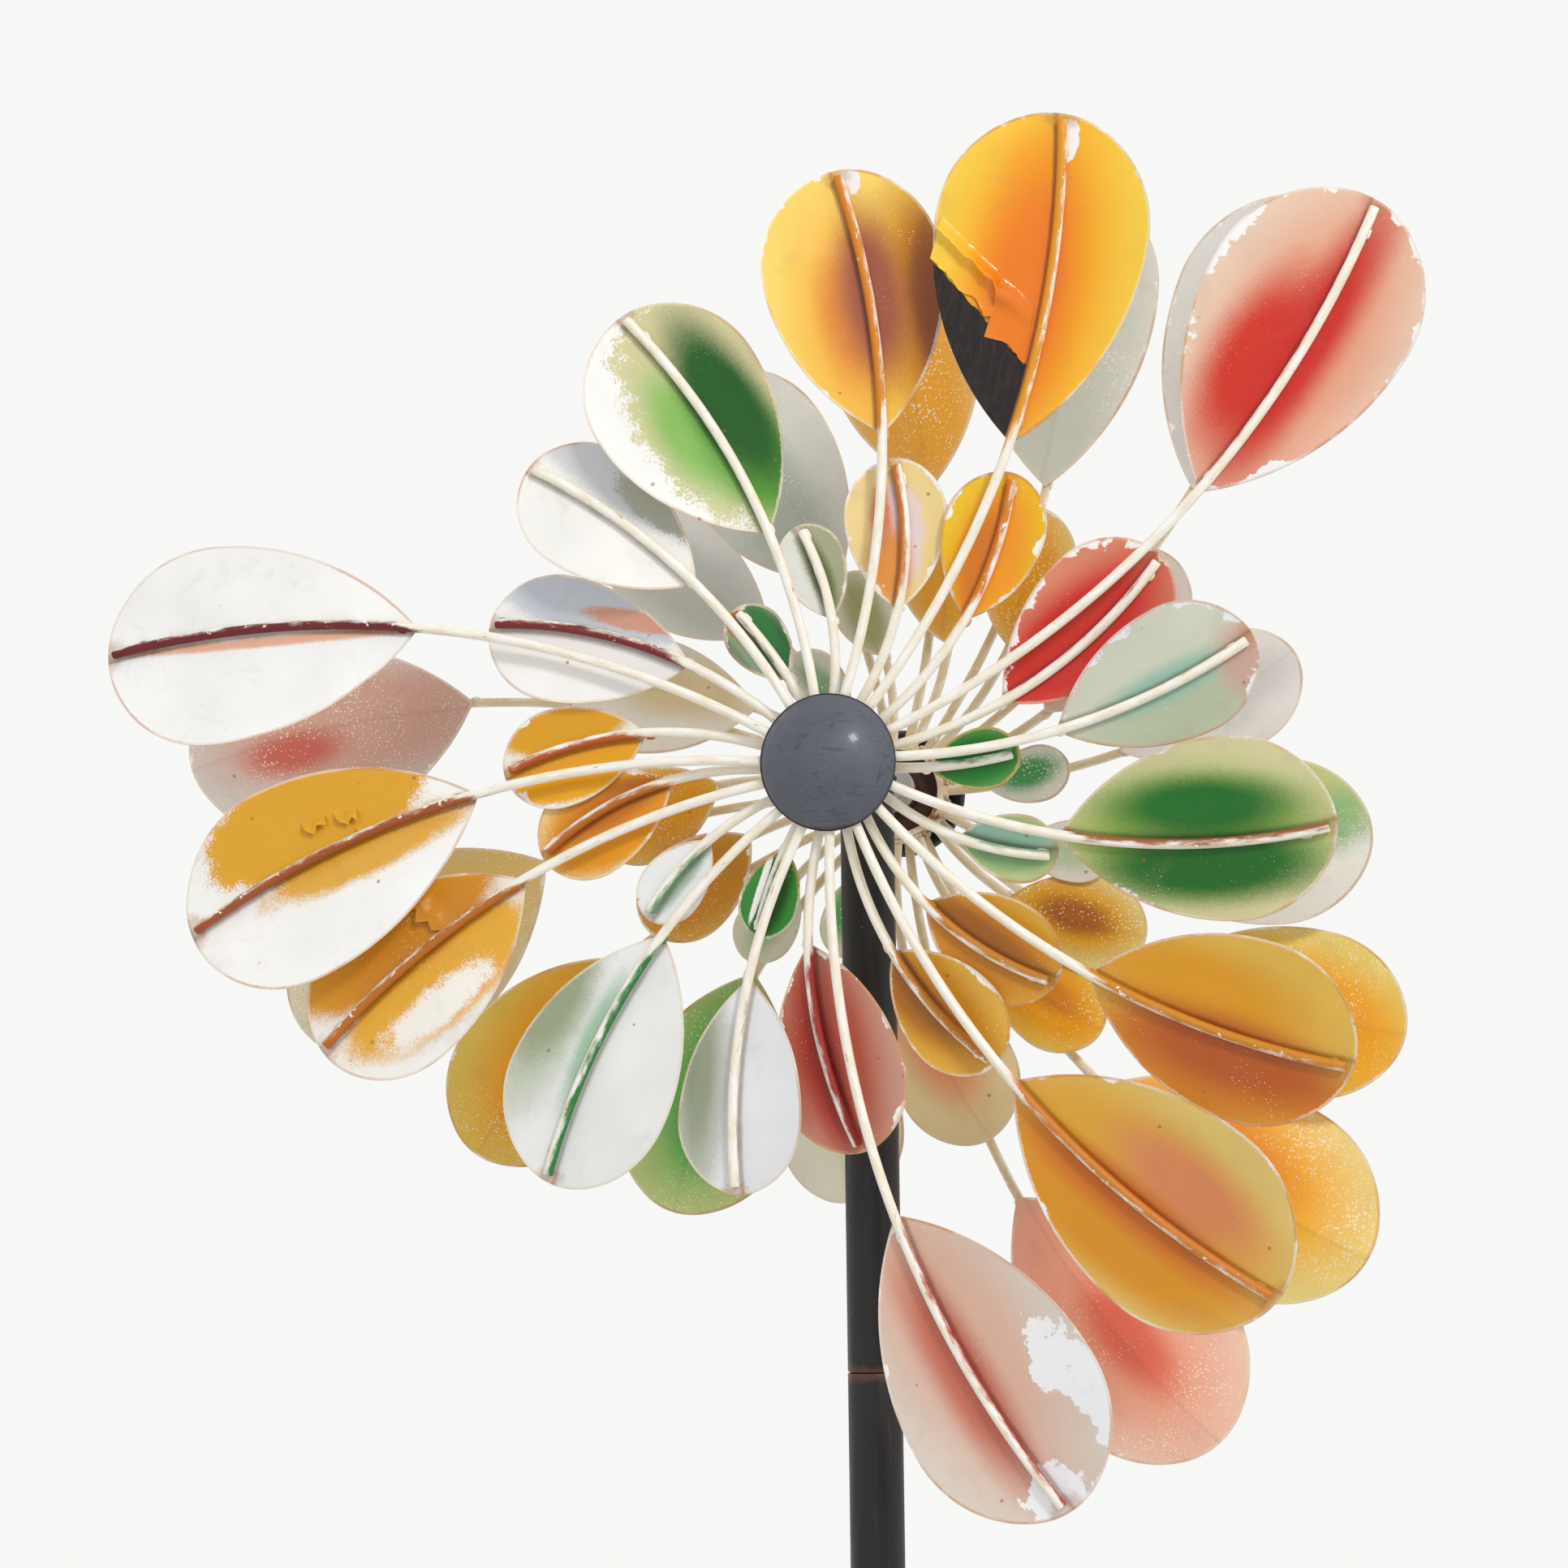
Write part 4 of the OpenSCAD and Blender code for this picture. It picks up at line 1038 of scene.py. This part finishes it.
def curled_skin(name, key, root, edge, crest, lip, crest_at, count=40, steps=16):
    """A skin of paint lifting off a petal between two lines of flat points. The root line stays on
    the sheet; the skin rises to a crest, and its free edge stands off the sheet by lip."""
    petal, turn, material, seed = hung[key]
    rotor = key[0]
    root, edge = torn(root, count), torn(edge, count)
    points, flats = [], []
    for i in range(steps + 1):
        t = i / steps
        flat = root + (edge - root) * t
        on, fold = petal.lift(flat, seed)
        near_stem = np.clip((np.abs(fold) - 1.0) / 14.0, 0.12, 1.0)
        hump = math.exp(-((t - crest_at) / 0.13) ** 2) * crest
        ease = t * t * (3 - 2 * t)
        ripple = wobble(np.column_stack([flat, np.zeros(count)]), 7.0, 1.1, 4) * ease
        rise = np.maximum((hump + lip * ease + ripple) * near_stem, 0)
        on[:, 2] += 0.1 * min(t * 8, 1) + rise * min(t * 5, 1)
        points.append(on)
        flats.append(np.column_stack([flat, np.zeros(count)]))
    top = np.concatenate(points)
    flats = np.concatenate(flats)
    low = top - np.array([0, 0, SKIN_T])
    verts, total, faces = np.concatenate([top, low]), len(top), []
    for i in range(steps):
        for j in range(count - 1):
            a, b = i * count + j, (i + 1) * count + j
            faces += [(a, b, b + 1, a + 1), (total + a, total + a + 1, total + b + 1, total + b)]
    border = list(range(count)) + [i * count + count - 1 for i in range(1, steps + 1)]
    border += [steps * count + j for j in range(count - 2, -1, -1)]
    border += [i * count for i in range(steps - 1, 0, -1)]
    for i, a in enumerate(border):
        b = border[(i + 1) % len(border)]
        faces.append((a, b, total + b, total + a))
    values = {"flat": ("FLOAT_VECTOR", np.concatenate([flats, flats])),
              "rim": ("FLOAT", np.full(2 * total, 20.0)), "fold": ("FLOAT", np.full(2 * total, 20.0))}
    obj = make(name, verts, faces, on_rotor(rotor, turn), material, 60.0, values)
    outward(obj)
    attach(obj, f"{rotor}_rotor")


# On the big orange petal the skin has buckled across and torn away below.
curled_skin("front_loose_skin_a4", ("front", 0, 3), [(84, 38.2), (70, 18), (59, -1.0)],
            [(65.5, 40.2), (60.5, 33), (55, 28), (53.5, 21.5), (47, 17), (47.5, 13), (39, 16), (38, 7),
             (31, -0.5)], 4.6, 1.0, 0.36)
# Two golden petals have small flakes that curl up off the sheet.
for i, (root, edge, rise) in enumerate([
        ([(72, -22), (61, -21)], [(70, -17), (67.5, -14.5), (65, -17.5), (61.5, -16)], 3.0),
        ([(58, -20), (48, -18)], [(56, -14.5), (53, -12), (51, -14.5), (48.5, -11.5)], 3.2),
        ([(52, -11), (44, -9)], [(50.5, -7), (48, -5), (45, -6)], 2.4)]):
    curled_skin(f"front_loose_flake_c4_{i + 1}", ("front", 2, 3), root, edge, 0.6, rise, 0.6, 24, 8)
curled_skin("front_loose_flake_c3", ("front", 2, 2), [(33, -24), (30, -6)],
            [(44, -23), (41, -19), (44.5, -15), (40, -12), (42, -9), (38.5, -6)], 0.8, 3.4, 0.6, 30, 10)

# ---------------------------------------------------------------- hub, dome and axle parts


def cap_dents(points):
    """Shallow dents knocked into the domed cap."""
    return points + np.column_stack([np.zeros((len(points), 2)), wobble(points, 17, 0.35, 5)])


def hub_parts(rotor):
    """The hub with its root welds, the domed cap with its collar, and the two bushes."""
    place, body = on_rotor(rotor), f"{rotor}_rotor"
    bush_r = bush_bore + BUSH_WALL
    boss_r = bush_r + BOSS_WALL
    boss_start = -bushes_high[1] + BUSH_FLANGE
    boss_end = boss_start + BOSS_LEN
    ring_start = inner_row - WIRE_R - 2.7
    ring_end = -hub_low[1]
    web_start = inner_row + 1.0
    web_end = web_start + WEB_T
    ring = [(hub_r, ring_start), (hub_r, ring_end), (hub_bore, ring_end), (hub_bore, web_end),
            (boss_r, web_end), (boss_r, boss_end), (bush_r, boss_end), (bush_r, boss_start),
            (boss_r, boss_start), (boss_r, web_start), (hub_bore, web_start), (hub_bore, ring_start)]
    hub = turned(f"{rotor}_welded_hub", ring, place, hub_finish, ease=0.5)
    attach(hub, body)
    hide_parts(f"{rotor}_hub")
    # A weld bead round the root of every wire.
    points, faces = [], []
    for row in ("outer", "inner"):
        for s in range(3):
            for k in range(5):
                stem, turn = stem_of(rotor, row, s, k)
                out = np.array([math.cos(-stem.lean), math.sin(-stem.lean), 0])
                side = np.array([-out[1], out[0], 0])
                verts, more = bead((hub_r + 0.5, 0.0, stem.row), [out, side, (0, 0, 1)],
                                   (1.7, 3.5, 3.4), 7 * k + 40 * s + (3 if row == "inner" else 0))
                start = sum(len(p) for p in points)
                points.append(on_rotor(rotor, turn)(verts))
                faces += [[i + start for i in f] for f in more]
    welds = make(f"{rotor}_root_welds", np.concatenate(points), faces, upright, hub_finish, 60.0)
    outward(welds)
    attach(welds, body)
    # The domed cap: a spun shell with a rolled rim and a collar in the ring.
    ball = (dome_r ** 2 + dome_h ** 2) / (2 * dome_h)
    middle = dome_rim + dome_h - ball
    outer = [(ball * math.sin(a), middle + ball * math.cos(a))
             for a in np.linspace(0.002, math.asin(dome_r / ball) - 0.004, 26)]
    rim = [(dome_r, dome_rim + 0.75), (dome_r - 0.15, dome_rim + 0.2), (dome_r - 0.75, dome_rim + 0.02),
           (dome_r - 1.5, dome_rim + 0.3)]
    bowl = ball - CAP_T
    inside = [(bowl * math.sin(a), middle + bowl * math.cos(a))
              for a in np.linspace(math.asin((dome_r - 2) / bowl), 0.002, 20)]
    cap = turned(f"{rotor}_domed_cap", outer + rim + inside, place, dome_finish, closed=False,
                 segments=120, ease=0.0, shape=cap_dents)
    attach(cap, body)
    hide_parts(f"{rotor}_dome")
    collar_r, collar_bore = hub_bore - 0.05, hub_bore - 1.55
    collar_start, collar_end = ring_end - 5, dome_rim + 6
    collar = turned(f"{rotor}_cap_collar", [(collar_r, collar_start), (collar_r, collar_end),
                                            (collar_bore, collar_end), (collar_bore, collar_start)],
                    place, dome_finish)
    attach(collar, body)
    # Two flanged bushes, pushed into the boss from both ends.
    for end, flip in (("near", False), ("far", True)):
        start = boss_start - BUSH_FLANGE
        shape = [(bush_bore, start), (WASHER_R, start), (WASHER_R, start + BUSH_FLANGE),
                 (bush_r, start + BUSH_FLANGE), (bush_r, start + BUSH_LEN), (bush_bore, start + BUSH_LEN)]
        if flip:
            shape = [(r, 2 * boss_start + BOSS_LEN - h) for r, h in shape]
        bush = turned(f"{rotor}_bush_{end}", shape, place, bronze_finish, ease=0.3)
        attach(bush, body)
        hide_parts(f"{rotor}_bushes")


for rotor in ("front", "rear"):
    hub_parts(rotor)

# The axle tube has two fine turned grooves near each end.
housing_shape = [(washer_bore, -housing_half), (housing_r, -housing_half)]
for groove in (-housing_half + 4, -housing_half + 6.5, housing_half - 6.5, housing_half - 4):
    housing_shape += [(housing_r, groove - 0.5), (housing_r - 0.35, groove), (housing_r, groove + 0.5)]
housing_shape += [(housing_r, housing_half), (washer_bore, housing_half)]
housing = turned("axle_tube", housing_shape, on_rotor("front"), housing_finish, ease=0.35)
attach(housing, "stand")
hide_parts("axle_housing")

# The axle rod is threaded at both ends.
axle_half = axle_high[1]
thread_deep = 0.65
rod = [(0.01, -axle_half), (axle_r - 0.9, -axle_half)]
turns = int(THREAD_LEN / THREAD_PITCH)
rod += [(axle_r - (thread_deep if i % 2 == 0 else 0.0), -axle_half + 0.6 + i * THREAD_PITCH / 2)
        for i in range(2 * turns)]
rod += [(axle_r, 0)]
rod += [(r, -h) for r, h in rod[-2::-1]]
axle = turned("threaded_axle", rod, on_rotor("front"), zinc_finish, closed=False, ease=0.0, segments=48)
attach(axle, "stand")
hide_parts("axle")


def hex_nut(name, start, place):
    """A lock nut with chamfered corners and a raised collar for its insert."""
    count = 96
    angles = np.linspace(0, 2 * math.pi, count, endpoint=False)
    corner = NUT_HALF / np.cos((angles + math.pi / 6) % (math.pi / 3) - math.pi / 6)
    chamfer = (corner - NUT_HALF) * 0.62
    bore = np.full(count, axle_r - 0.2)
    rings = [(bore, np.zeros(count)), (np.full(count, NUT_HALF * 0.97), np.zeros(count)),
             (corner, 0.15 + chamfer), (corner, NUT_T - 1.8 - chamfer)]
    rings += [(np.full(count, NUT_HALF * share), np.full(count, NUT_T - below))
              for share, below in ((0.94, 1.5), (0.80, 1.2), (0.76, 0.1), (0.72, 0.0))]
    rings += [(bore, np.full(count, NUT_T))]
    verts = np.concatenate([np.column_stack([r * np.cos(angles), r * np.sin(angles), h + start])
                            for r, h in rings])
    obj = make(name, verts, ring_faces(len(rings), count, True), place, zinc_finish, 30.0)
    outward(obj)
    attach(obj, "stand")
    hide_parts("lock_nuts")


for rotor in ("front", "rear"):
    place = on_rotor(rotor)
    hex_nut(f"{rotor}_lock_nut", washers_high[1], place)
    for label, start in (("inner", housing_half), ("outer", washers_high[1] - WASHER_T)):
        end = start + WASHER_T
        washer = turned(f"{rotor}_{label}_washer",
                        [(washer_bore, start), (WASHER_R, start), (WASHER_R, end), (washer_bore, end)],
                        place, zinc_finish, ease=0.25, segments=48)
        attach(washer, "stand")
        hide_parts("washers")

# ---------------------------------------------------------------- pole and stake


def cope(verts):
    """Cuts the top of the head post to sit on the axle tube."""
    out = verts.copy()
    top = axle_z - np.sqrt(np.clip(housing_r ** 2 - out[:, 0] ** 2, 0, None))
    out[:, 2] = np.minimum(out[:, 2], top)
    return out


def stand_piece(name, profile, node, shape=None, closed=True, ease=0.5):
    """A turned piece of the stand in black powder coat."""
    obj = turned(name, profile, upright, pole_finish, closed=closed, ease=ease, shape=shape)
    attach(obj, "stand")
    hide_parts(node)
    return obj


# Each section stops JOINT_GAP short of its joint, so that the joint reads as a fine dark line.
bottom, top = post_low[2] + JOINT_GAP, axle_z
cope_depth, cope_rings = 14, 8
levels = list(np.linspace(top - cope_depth, top, cope_rings))
stand_piece("head_tube", [(pole_bore, bottom), (pole_r, bottom)] + [(pole_r, z) for z in levels]
            + [(pole_bore, z) for z in levels[::-1]], "head_post", cope)
for name, node, low, high in (("upper_tube", "upper_pole", upper_low[2], post_low[2]),
                              ("lower_tube", "lower_pole", lower_low[2], upper_low[2])):
    spigot_top = low + (upper_high[2] - upper_low[2])
    spigot_bore = spigot_r - POLE_WALL
    stand_piece(name, [(pole_bore, low + JOINT_GAP), (pole_r, low + JOINT_GAP),
                       (pole_r, high - JOINT_GAP), (spigot_r, high), (spigot_r, spigot_top),
                       (spigot_bore, spigot_top), (spigot_bore, high - 5), (pole_bore, high - 6)], node)
stub_top, spigot_top = lower_low[2], stake_high[2]
spike_tip, spike_taper = stake_low[2], 24
stand_piece("stake_tube", [(0.01, spike_tip), (0.5, spike_tip), (SPIKE_R, spike_tip + spike_taper),
                           (SPIKE_R, -1.5), (pole_bore, 0), (pole_r, 0), (pole_r, stub_top - JOINT_GAP),
                           (spigot_r, stub_top), (spigot_r, spigot_top), (0.01, spigot_top)],
            "ground_stake", closed=False)


def saddle_weld():
    """The weld that runs round the cope between head post and axle tube."""
    count, around, bead_r = 120, 8, 1.1
    angles = np.linspace(0, 2 * math.pi, count, endpoint=False)
    lump = 1 + 0.22 * np.sin(angles * 31) + 0.1 * np.sin(angles * 47 + 1)
    points = []
    for a, grow in zip(angles, lump):
        x, y = pole_r * math.cos(a), pole_r * math.sin(a)
        z = axle_z - math.sqrt(max(housing_r ** 2 - x * x, 0))
        out = np.array([math.cos(a), math.sin(a), 0])
        for b in np.linspace(0, 2 * math.pi, around, endpoint=False):
            points.append(np.array([x, y, z]) + (out * math.cos(b) + np.array([0, 0, 1]) * math.sin(b))
                          * bead_r * grow)
    obj = make("saddle_weld", np.array(points), ring_faces(count, around, True), upright, pole_finish, 60.0)
    outward(obj)
    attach(obj, "stand")


saddle_weld()


def step_bar():
    """Flat step bar with rounded ends and soft edges, and its two pointed prongs."""
    half_len, half_wide = bar_high[0], bar_high[1]
    thick, corner, steps = bar_high[2], 6.0, 6
    outline = []
    for cx, cy, start in ((1, 1, 0), (-1, 1, 90), (-1, -1, 180), (1, -1, 270)):
        for i in range(steps + 1):
            a = math.radians(start + 90 * i / steps)
            outline.append((cx * (half_len - corner) + corner * math.cos(a),
                            cy * (half_wide - corner) + corner * math.sin(a)))
    outline, count = np.array(outline), len(outline)
    rings = []
    for inset, z in ((1.0, 0.0), (0.3, 0.3), (0.0, 1.0),
                     (0.0, thick - 1.0), (0.3, thick - 0.3), (1.0, thick)):
        scale = np.array([(half_len - inset) / half_len, (half_wide - inset) / half_wide])
        rings.append(np.column_stack([outline * scale, np.full(count, z)]))
    verts, faces = np.concatenate(rings), ring_faces(len(rings), count, False)
    faces += [list(range(count))[::-1], list(range(len(verts) - count, len(verts)))]
    bar = make("step_plate", verts, faces, upright, pole_finish, 40.0)
    outward(bar)
    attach(bar, "stand")
    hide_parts("step_bar")
    tip, taper, top = bar_low[2], 18, 0.5
    rod = [(0.01, tip), (0.5, tip), (PRONG_R, tip + taper), (PRONG_R, top), (0.01, top)]
    for side, label in ((-1, "left"), (1, "right")):
        shift = np.array([side * PRONG_X, 0, 0])
        prong = turned(f"{label}_prong_rod", rod, upright, pole_finish, closed=False, segments=40,
                       shape=lambda points, shift=shift: points + shift)
        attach(prong, "stand")
        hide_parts("step_bar")


step_bar()

# ---------------------------------------------------------------- floor, light and camera


def pale_floor():
    """Smooth pale studio floor, with a faint mottle so that it isn't dead flat."""
    material, t = start_material("matt_pale_studio_floor")
    here = object_mm(t)
    mottle = add(t, "TexNoise", {}, {"Vector": here, "Scale": 1 / 300.0, "Detail": 4.0})
    colour = add(t, "MixRGB", {}, {"Fac": mottle, "Color1": paint_colour("DCDAD6"),
                                   "Color2": paint_colour("E6E4E0")})
    finish_material(t, colour, add(t, "MapRange", {}, {"Value": mottle, "To Min": 0.6, "To Max": 0.8}),
                    mottle, 0.5, 0.1)
    radius, level, count = 2900.0, CAD_BOX[0][2] / MM, 96
    angles = np.linspace(0, 2 * math.pi, count, endpoint=False)
    verts = np.column_stack([radius * np.cos(angles), radius * np.sin(angles), np.full(count, level)])
    floor = make("studio_floor", verts, [list(range(count))], upright, material)


pale_floor()


def soft_box(name, centre, aim, side, watts, code):
    """A round soft light, side metres across, turned to the point it is aimed at."""
    light = bpy.data.lights.new(name, "AREA")
    light.shape, light.size, light.energy = "DISK", side, watts
    light.color = paint_colour(code)[:3]
    obj = bpy.data.objects.new(name, light)
    obj.location = centre
    obj.rotation_euler = (Vector(aim) - Vector(centre)).to_track_quat("-Z", "Y").to_euler()
    bpy.context.scene.collection.objects.link(obj)


axle_point = Vector((0, 0, axle_z * MM))
soft_box("key_light", axle_point + Vector((1.9, -2.3, 1.9)), axle_point, 0.7, 48, "FFFCF8")
soft_box("back_fill", axle_point + Vector((-1.6, 2.4, 1.2)), axle_point, 2.0, 16, "F4F7FF")

# The studio's walls: pale where they are seen, and a little dimmer where they light the pieces.
world = bpy.data.worlds.new("pale_studio")
bpy.context.scene.world = world
world.use_nodes = True
wt = world.node_tree
wt.nodes.clear()
seen = add(wt, "Background", {}, {"Color": paint_colour("FAFAF8"), "Strength": 0.98})
lit = add(wt, "Background", {}, {"Color": paint_colour("FBFBFC"), "Strength": 0.80})
camera_ray = add(wt, "LightPath", {}, {}, "Is Camera Ray")
both = add(wt, "MixShader", {}, {0: camera_ray, 1: lit, 2: seen})
add(wt, "OutputWorld", {}, {"Surface": both}, None)
bpy.context.scene.view_settings.view_transform = "Standard"

# The camera stands a little to the right of the axle and below it, 1.8 m away, and is aimed slightly
# to the left of the axle and below it.
camera_away = 1.8
aim_left, aim_below = 0.0337, 0.0022
azimuth, elevation, roll = math.radians(10.9), math.radians(-4.84), math.radians(0.82)
back = Vector((math.sin(azimuth) * math.cos(elevation), -math.cos(azimuth) * math.cos(elevation),
               math.sin(elevation)))
level_right = Vector((math.cos(azimuth), math.sin(azimuth), 0))
level_up = back.cross(level_right).normalized()
right = level_right * math.cos(roll) - level_up * math.sin(roll)
up = level_right * math.sin(roll) + level_up * math.cos(roll)
stand_at = axle_point + back * camera_away
aim = axle_point - right * aim_left - up * aim_below
back = (stand_at - aim).normalized()
right = up.cross(back).normalized()
up = back.cross(right)
data = bpy.data.cameras.new("view_camera")
data.lens, data.sensor_width = 101.4, 36.0
camera = bpy.data.objects.new("view_camera", data)
camera.matrix_world = Matrix((
    (right.x, up.x, back.x, stand_at.x), (right.y, up.y, back.y, stand_at.y),
    (right.z, up.z, back.z, stand_at.z), (0, 0, 0, 1)))
bpy.context.scene.collection.objects.link(camera)
bpy.context.scene.camera = camera
